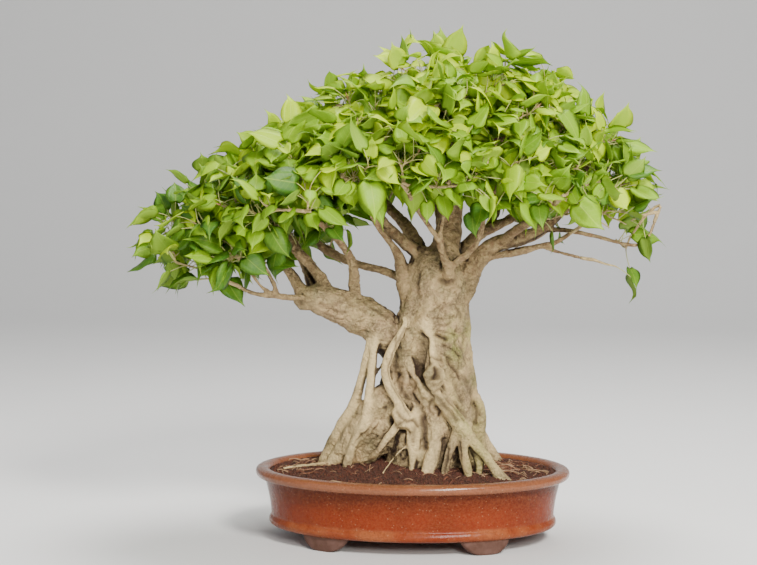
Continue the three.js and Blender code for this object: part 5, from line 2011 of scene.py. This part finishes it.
    def blades(self, stand: dict[str, Array], necks: Array, tones: Array) -> Shape:
        """Blades as thin closed shells on a grid. At u from -1 to 1 across and v from 0 to 1
        along, the half width is 1 at a fifth of the length and narrows to a drawn-out tip. At
        the base the grid lines curve back beside the stalk, for the lobes. The blade folds up
        along its midrib, domes down to its margin, arches along its length, hooks at the tip
        and waves at the margin.

        Args:
            stand: what stance() gives.
            necks: where the stalks end.
            tones: how young each leaf is, with painted light and shade.

        Returns:
            All blades as one shape.
        """
        v = np.array([0.0, 0.1, 0.2, 0.31, 0.43, 0.55, 0.66, 0.76, 0.86, 1.0])[:, None]
        u = np.linspace(-1, 1, self.columns)[None, :]
        width = np.array([0.72, 0.94, 1.0, 0.985, 0.92, 0.79, 0.57, 0.29, 0.10, 0.0])[:, None]
        seed = stand["seed"][:, None, None]
        size = (stand["size"] * self.length)[:, None, None]
        narrow = 0.88 + 0.22 * spread(seed, 3.7)
        x = u * width * self.width * narrow * size
        lobe = (0.34 + 0.1 * spread(seed, 5.5)) * np.abs(u) * (1 - np.abs(u))
        y = (v - lobe * (1 - v) ** 3) * size
        fold = 0.08 + 0.75 * spread(seed, 4.9) ** 2
        dome = 0.55 * spread(seed, 7.3) * self.width * size * (u * width) ** 2
        rise = fold * np.abs(x) * (1 - 0.4 * v) - dome
        bend = (0.6 * spread(seed, 6.1) - 0.05) * size * v**1.7
        hook = 3.4 * (spread(seed, 8.9) - 0.55) * size * np.maximum(v - 0.66, 0) ** 1.6
        loose = 0.02 + 0.09 * spread(seed, 9.7) ** 2
        wave = loose * size * np.sin(7 * v + 6.28 * spread(seed, 2.1) + 1.5 * u) * u**2
        z = rise - bend + wave * (1 - v) + hook
        bank = 1.1 * (spread(seed, 5.1) - 0.5) * size * np.maximum(v - 0.5, 0) ** 2
        x = x + bank
        axis = stand["axis"][:, None, None]
        face = stand["face"][:, None, None]
        across = np.cross(axis, face)
        thick = 0.00022 * (1 - u**2) * (1 - v**3) + 0 * z
        base = necks[:, None, None] + across * x[..., None] + axis * y[..., None]
        top = base + face * (z + thick)[..., None]
        bottom = base + face * (z - thick)[..., None]
        return self.shells(top, bottom, u, v, width, tones)

    def shells(self, top: Array, bottom: Array, u: Array, v: Array, width: Array,
            tones: Array) -> Shape:
        """Closed shells of two grids that share their margins.

        Args:
            top: upper grid of each leaf.
            bottom: lower grid of each leaf.
            u: share across.
            v: share along.
            width: half width along, as a share.
            tones: how young each leaf is, with painted light and shade.

        Returns:
            The shells, with tone and under stored, and a UV map of the flat leaf.
        """
        count, rows, columns = top.shape[:3]
        grid = np.arange((rows - 1) * columns).reshape(rows - 1, columns)
        tip = grid.size
        inner = np.full((rows - 1, columns), -1)
        inner[1:, 1:-1] = tip + 1 + np.arange((rows - 2) * (columns - 2)).reshape(rows - 2, -1)
        low = np.where(inner >= 0, inner, grid)

        tips = np.full(columns - 1, tip)
        (upper, upper_fans), (lower, lower_fans) = ((grid_quads(index),
            stacked(index[-1, :-1], index[-1, 1:], tips)) for index in (grid, low))
        faces = [np.vstack([upper[:, OTHER_WAY], lower]), np.vstack([upper_fans[:, ::-1], lower_fans])]
        flat_top = top[:, :-1].reshape(count, -1, 3)
        points = np.concatenate([flat_top, top[:, -1, columns // 2][:, None],
            bottom[:, 1:-1, 1:-1].reshape(count, -1, 3)], axis=1)
        per_leaf = points.shape[1]
        across = 0.5 + 0.5 * u * width
        uv_grid = stacked(across, v + 0 * across)
        uv = np.concatenate([uv_grid[:-1].reshape(-1, 2), [[0.5, 1.0]], uv_grid[1:-1, 1:-1].reshape(-1,
            2)])
        under = np.arange(per_leaf) > tip
        values = {"tone": np.repeat(tones, per_leaf), "under": np.tile(under, count)}
        return Shape(points.reshape(-1, 3), repeated(faces, count, per_leaf), values,
            np.tile(uv, (count, 1)))

    def buds(self) -> Shape:
        """A slim pointed bud at each fifth twig's tip, in its rosy sheath.

        Returns:
            All buds.
        """
        chosen = np.flatnonzero(spread(np.arange(len(self.twigs.limb)), 6.7) < 0.2)
        tips = self.twigs.points[chosen, -1]
        way = unit(tips - self.twigs.points[chosen, -2] + self.twigs.outward[chosen] * 0.002)
        t = np.array([0.0, 0.3, 0.6, 0.85, 1.0])
        points = tips[:, None] + way[:, None] * (t * 0.011)[None, :, None]
        radii = np.broadcast_to(np.array([0.9, 1.3, 1.0, 0.5, 0.15]) * MM, (len(tips), 5))
        shape = sweep(points, radii.copy(), 5)
        shape.values = {"tone": np.ones(len(shape.vertices))}
        return shape

    def sectors(self) -> Array:
        """The sector of each limb: 0 top, 1 front, 2 right, 3 back, 4 left, by the middle of
        its twigs' tips.

        Returns:
            One number for each limb.
        """
        limbs = len(LIMBS)
        tips = self.twigs.points[:, -1]
        count = np.maximum(np.bincount(self.twigs.limb, minlength=limbs), 1)
        mean = np.stack([np.bincount(self.twigs.limb, tips[:, i], limbs) / count for i in range(3)],
            axis=-1) - POT_PLACE
        angle = np.arctan2(mean[:, 1], mean[:, 0] - 0.03)
        quarter = np.floor((angle + np.pi * 0.75) / (np.pi / 2)).astype(int) % 4
        return np.where(mean[:, 2] > 0.62, 0, quarter + 1)

    def build(self) -> list[Object]:
        """The leaves in one piece for each sector, and the stalks and buds in another.

        Returns:
            The pieces.
        """
        stand = self.stance()
        tones = self.tones(stand)
        paths, radii = self.stalk_paths(stand)
        sector = self.sectors()
        of_leaf = sector[self.twigs.limb[stand["twig"]]]
        names = ("top", "front", "right", "back", "left")
        pieces = []
        for number, name in enumerate(names):
            chosen = of_leaf == number
            if not chosen.any():
                continue
            part = {key: value[chosen] for key, value in stand.items()}
            shape = self.blades(part, paths[chosen, -1], tones[chosen])
            nodes = [SHOOT_NODES[i] for i in np.flatnonzero(sector == number)]
            piece = shape.piece(f"leaves_{name}", self.leaf.material())
            pieces.append(finished(piece, Slot.LEAF, *nodes))
        stalks = sweep(paths, radii, 4)
        share = np.append(np.repeat(np.array([0.1, 0.35, 0.5, 0.6, 0.6]), 4), [0.1, 0.6])
        stalks.values = {"tone": np.tile(share, len(paths))}
        shape = Shape.joined([stalks, self.buds()])
        piece = shape.piece("leaf_stalks_and_buds", self.green.material())
        pieces.append(finished(piece, Slot.LEAF, *SHOOT_NODES))
        LOG.info("%d leaves on %d twigs", len(tones), len(self.twigs.limb))
        return pieces


# --- soil


@dataclass
class Soil:
    """The soil: a mound with loose grains, fibres and fine roots on it."""

    edge: float = 0.097
    mound: float = 0.015
    floor: float = 0.0324
    half_length: float = 0.2040
    half_width: float = 0.1450
    grains: int = 8200
    fibres: int = 240
    seed: int = 11
    finish: SoilFinish = SoilFinish("fired_clay_grit")
    fibre: FibreFinish = FibreFinish("fine_roots")

    def height(self, x: Array, y: Array) -> Array:
        """Height of the soil: 97 mm at the wall, plus the mound times (1 - s²)^1.5, where s is
        the share of the way to the wall, plus low waves that fade at the wall.

        Args:
            x: metres from the pot's middle.
            y: metres from the pot's middle.

        Returns:
            Heights in metres.
        """
        share = np.clip(np.hypot(x / self.half_length, y / self.half_width), 0, 1)
        rise = self.mound * (1 - share**2) ** 1.5
        wave = np.sin((x + POT_PLACE[0]) / 0.019 + 1) * np.cos((y + POT_PLACE[1]) / 0.015)
        rough = noise(stacked(x, y, 0 * x), 0.013, 3, seed=31) * 0.0017
        return self.edge + rise + (wave * 0.0011 + rough) * (1 - share**6)

    def bed(self) -> Shape:
        """The closed body of the soil: the mound, a wall that follows the pot and a bottom.

        Returns:
            The body, with its tone.
        """
        rings, steps = 60, 180
        share = np.linspace(1, 0.02, rings)[:, None]
        angle = (np.arange(steps) / steps * 2 * np.pi)[None, :]
        x = share * self.half_length * np.cos(angle)
        y = share * self.half_width * np.sin(angle)
        top = stacked(x, y, self.height(x, y))
        wall = []
        for inset, z in ((0.0257, self.floor), (0.0104, 0.046), (0.0034, 0.084)):
            wall.append(stacked((self.half_length - inset) * np.cos(angle[0]),
                (self.half_width - inset) * np.sin(angle[0]), np.full(steps, z)))
        grid = np.concatenate([np.array(wall), top])
        peak = self.height(np.zeros(1), np.zeros(1))[0]
        poles = np.array([[0, 0, self.floor], [0, 0, peak]])
        vertices = np.vstack([grid.reshape(-1, 3), poles]) + POT_PLACE
        tone = 0.25 + 0.2 * noise(vertices, 0.008, 2, seed=33)
        return Shape(vertices, tube_faces(len(grid), steps), {"tone": tone})

    def scattered(self, count: int, rng: np.random.Generator, within: float) -> Array:
        """Random places on the soil, x and y from the pot's middle, evenly over its oval.

        Args:
            count: how many.
            rng: random numbers.
            within: the furthest share of the way to the wall.

        Returns:
            One row for each place.
        """
        angle = rng.random(count) * 2 * np.pi
        far = np.sqrt(rng.random(count)) * within
        return stacked(far * self.half_length * np.cos(angle), far * self.half_width * np.sin(angle))

    def grit(self, rng: np.random.Generator) -> Shape:
        """Loose grains: squashed eight-faced crumbs, turned any way and half sunk.

        Args:
            rng: random numbers.

        Returns:
            All grains.
        """
        corners = np.array([[1, 0, 0], [0, 1, 0], [-1, 0, 0], [0, -1, 0], [0, 0, 1], [0, 0, -1]], float)
        faces = np.array([[0, 1, 4], [1, 2, 4], [2, 3, 4], [3, 0, 4], [1, 0, 5], [2, 1, 5], [3, 2, 5],
            [0, 3, 5]])
        flat = self.scattered(self.grains, rng, 0.985)
        size = 0.0009 + 0.0017 * rng.random((self.grains, 1, 1)) ** 1.8
        shape = corners[None] * size * (0.65 + 0.7 * rng.random((self.grains, 6, 1)))
        turn = rng.normal(size=(self.grains, 3, 3))
        turn, _ = np.linalg.qr(turn)
        turn *= np.sign(np.linalg.det(turn))[:, None, None]
        shape = shape @ turn
        middle = np.column_stack([flat, self.height(flat[:, 0], flat[:, 1]) + 0.0004])
        vertices = (shape + middle[:, None]).reshape(-1, 3) + POT_PLACE
        tone = np.repeat(np.clip(rng.normal(0.45, 0.33, self.grains), 0, 1), 6)
        return Shape(vertices, repeated([faces], self.grains, len(corners)), {"tone": tone})

    def threads(self, rng: np.random.Generator) -> Shape:
        """Fibres and fine roots: short wandering tubes that lie on the soil, many of them gathered near
        the trunk's right foot and at the left rim.

        Args:
            rng: random numbers.

        Returns:
            All fibres.
        """
        flat = self.scattered(self.fibres, rng, 0.93)
        third = self.fibres // 3
        flat[:third] = np.array([0.128, -0.01]) + rng.normal(size=(third, 2)) * [0.032, 0.035]
        sixth = self.fibres // 6
        flat[third : third + sixth] = (np.array([-0.152, -0.005]) + rng.normal(size=(sixth, 2))
            * [0.02, 0.03])
        inside = np.hypot(flat[:, 0] / self.half_length, flat[:, 1] / self.half_width)
        flat = flat / np.maximum(inside / 0.9, 1)[:, None]
        length = 0.012 + 0.03 * rng.random(self.fibres) ** 2
        heading = rng.random(self.fibres) * 2 * np.pi
        turn = rng.normal(size=(self.fibres, 1)) * 1.2
        t = np.linspace(0, 1, 7)[None, :]
        way = heading[:, None] + turn * t
        step = length[:, None] / 6
        x = flat[:, :1] + np.cumsum(np.cos(way) * step, axis=1)
        y = flat[:, 1:] + np.cumsum(np.sin(way) * step, axis=1)
        share = np.hypot(x / self.half_length, y / self.half_width)
        x, y = x / np.maximum(share / 0.96, 1), y / np.maximum(share / 0.96, 1)
        lift = np.sin(np.pi * t) * rng.random((self.fibres, 1)) * 0.004
        z = self.height(x, y) + 0.0008 + lift
        points = stacked(x, y, z) + POT_PLACE
        thick = (0.0004 + 0.0007 * rng.random((self.fibres, 1)) ** 3) * (1.1 - 0.6 * t)
        shape = sweep(points, thick, 4)
        tone = np.clip(rng.normal(0.45, 0.3, self.fibres), 0, 1)
        shape.values = {"tone": np.repeat(tone, 7 * 4 + 2)}
        return shape

    def build(self) -> list[Object]:
        """The soil bed with its grains, and the fibres.

        Returns:
            Both pieces.
        """
        rng = np.random.default_rng(self.seed)
        shape = Shape.joined([self.bed(), self.grit(rng)])
        bed = shape.piece("soil_bed", self.finish.material())
        threads = self.threads(rng)
        roots = threads.piece("fine_roots", self.fibre.material())
        return [finished(bed, Slot.SOIL, "soil"), finished(roots, Slot.BARK)]


# --- drain screens


@dataclass
class DrainScreens:
    """The two plastic meshes below the soil keep the model's own shape."""

    nodes: tuple[str, ...] = ("drain_screen_left", "drain_screen_right")
    finish: ScreenFinish = ScreenFinish("dusty_black_mesh")

    def build(self) -> None:
        """Gives both their material."""
        for name in self.nodes:
            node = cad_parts[name]
            node.data.materials.clear()
            node.data.materials.append(self.finish.material())
            LOG.info("%s: dressed", name)


# --- studio


@dataclass
class Studio:
    """Floor, backdrop, lights and camera."""

    camera_place: tuple[float, float, float] = (-48, -2900, 597)
    pitch_down: float = math.radians(4.55)
    focal_pixels: float = 2046.0
    picture_width: float = 757.0
    sensor: float = 36.0
    lit_place: tuple[float, float, float] = (0.0, 0.0, 0.38)
    floor_half: float = 6.0
    floor_near: float = -5.0
    floor_bend: float = 3.0
    bend_radius: float = 1.5
    wall_heights: tuple[float, float] = (4.0, 7.0)
    lights: tuple[tuple[str, tuple[float, float, float], float, float, Colour], ...] = (
        ("key", (1.5, -2.8, 2.5), 0.9, 195, (1, 0.97, 0.92)),
        ("fill", (-2.6, -2.0, 1.4), 2.0, 12, (0.97, 0.98, 1)),
        ("top", (0.3, 0.5, 2.9), 1.6, 105, (1, 0.98, 0.95)),
        ("glint", (0.75, -2.4, 0.95), 0.55, 40, (1, 0.97, 0.92)),
    )
    sky: Colour = (0.9, 0.93, 1)
    sky_strength: float = 0.33
    finish: FloorFinish = FloorFinish("pale_paper")

    def floor(self) -> None:
        """A sweep of paper: flat below the part, and curving up far behind it."""
        across = np.linspace(-self.floor_half, self.floor_half, 25)
        flat = np.linspace(self.floor_near, self.floor_bend, 17)
        arc = np.linspace(0, np.pi / 2, 16)[1:]
        wall = [self.floor_bend + self.bend_radius] * len(self.wall_heights)
        run = np.concatenate([flat, self.floor_bend + self.bend_radius * np.sin(arc), wall])
        bend = self.bend_radius - self.bend_radius * np.cos(arc)
        rise = np.concatenate([np.zeros(len(flat)), bend, self.wall_heights])
        points = np.stack(np.broadcast_arrays(across[None, :], run[:, None], rise[:, None]), -1)
        index = np.arange(points[..., 0].size).reshape(points.shape[:2])
        shape = Shape(points.reshape(-1, 3), [grid_quads(index)])
        shape.piece("studio_floor", self.finish.material())

    def light(self, name: str, place: tuple[float, float, float], size: float, power: float,
            colour: Colour) -> None:
        """One soft area light that looks at the middle of the tree.

        Args:
            name: the light's name.
            place: where it hangs.
            size: its side.
            power: watts.
            colour: its colour.
        """
        data = bpy.data.lights.new(name, "AREA")
        data.shape, data.size, data.energy, data.color = "DISK", size, power, colour
        lamp = bpy.data.objects.new(name, data)
        bpy.context.scene.collection.objects.link(lamp)
        self.aim(lamp, np.array(place), np.array(self.lit_place))

    @staticmethod
    def aim(thing: Object, place: Array, target: Array) -> None:
        """Puts a light or camera at a place, looking at a target."""
        thing.location = place
        thing.rotation_euler = Vector(target - place).to_track_quat("-Z", "Y").to_euler()

    def camera(self) -> None:
        """The camera, at the photograph's place and angle."""
        data = bpy.data.cameras.new("camera")
        data.sensor_width = self.sensor
        data.lens = self.focal_pixels / self.picture_width * self.sensor
        data.clip_end = 50
        camera = bpy.data.objects.new("camera", data)
        bpy.context.scene.collection.objects.link(camera)
        place = tree_points(np.array(self.camera_place, float))
        forward = turned(np.array([0.0, math.cos(self.pitch_down), -math.sin(self.pitch_down)]))
        self.aim(camera, place, place + forward)
        bpy.context.scene.camera = camera

    def build(self) -> None:
        """Floor, light and camera."""
        self.floor()
        self.camera()
        for light in self.lights:
            self.light(*light)
        world = bpy.data.worlds.new("studio")
        world.use_nodes = True
        backdrop = world.node_tree.nodes["Background"]
        backdrop.inputs["Color"].default_value = (*self.sky, 1)
        backdrop.inputs["Strength"].default_value = self.sky_strength
        bpy.context.scene.world = world


def main() -> None:
    """Builds the pieces in order."""
    Studio().build()
    Pot().build()
    Soil().build()
    DrainScreens().build()
    Wood().build()
    Crown().build()
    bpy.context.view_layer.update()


if __name__ == "__main__":
    main()
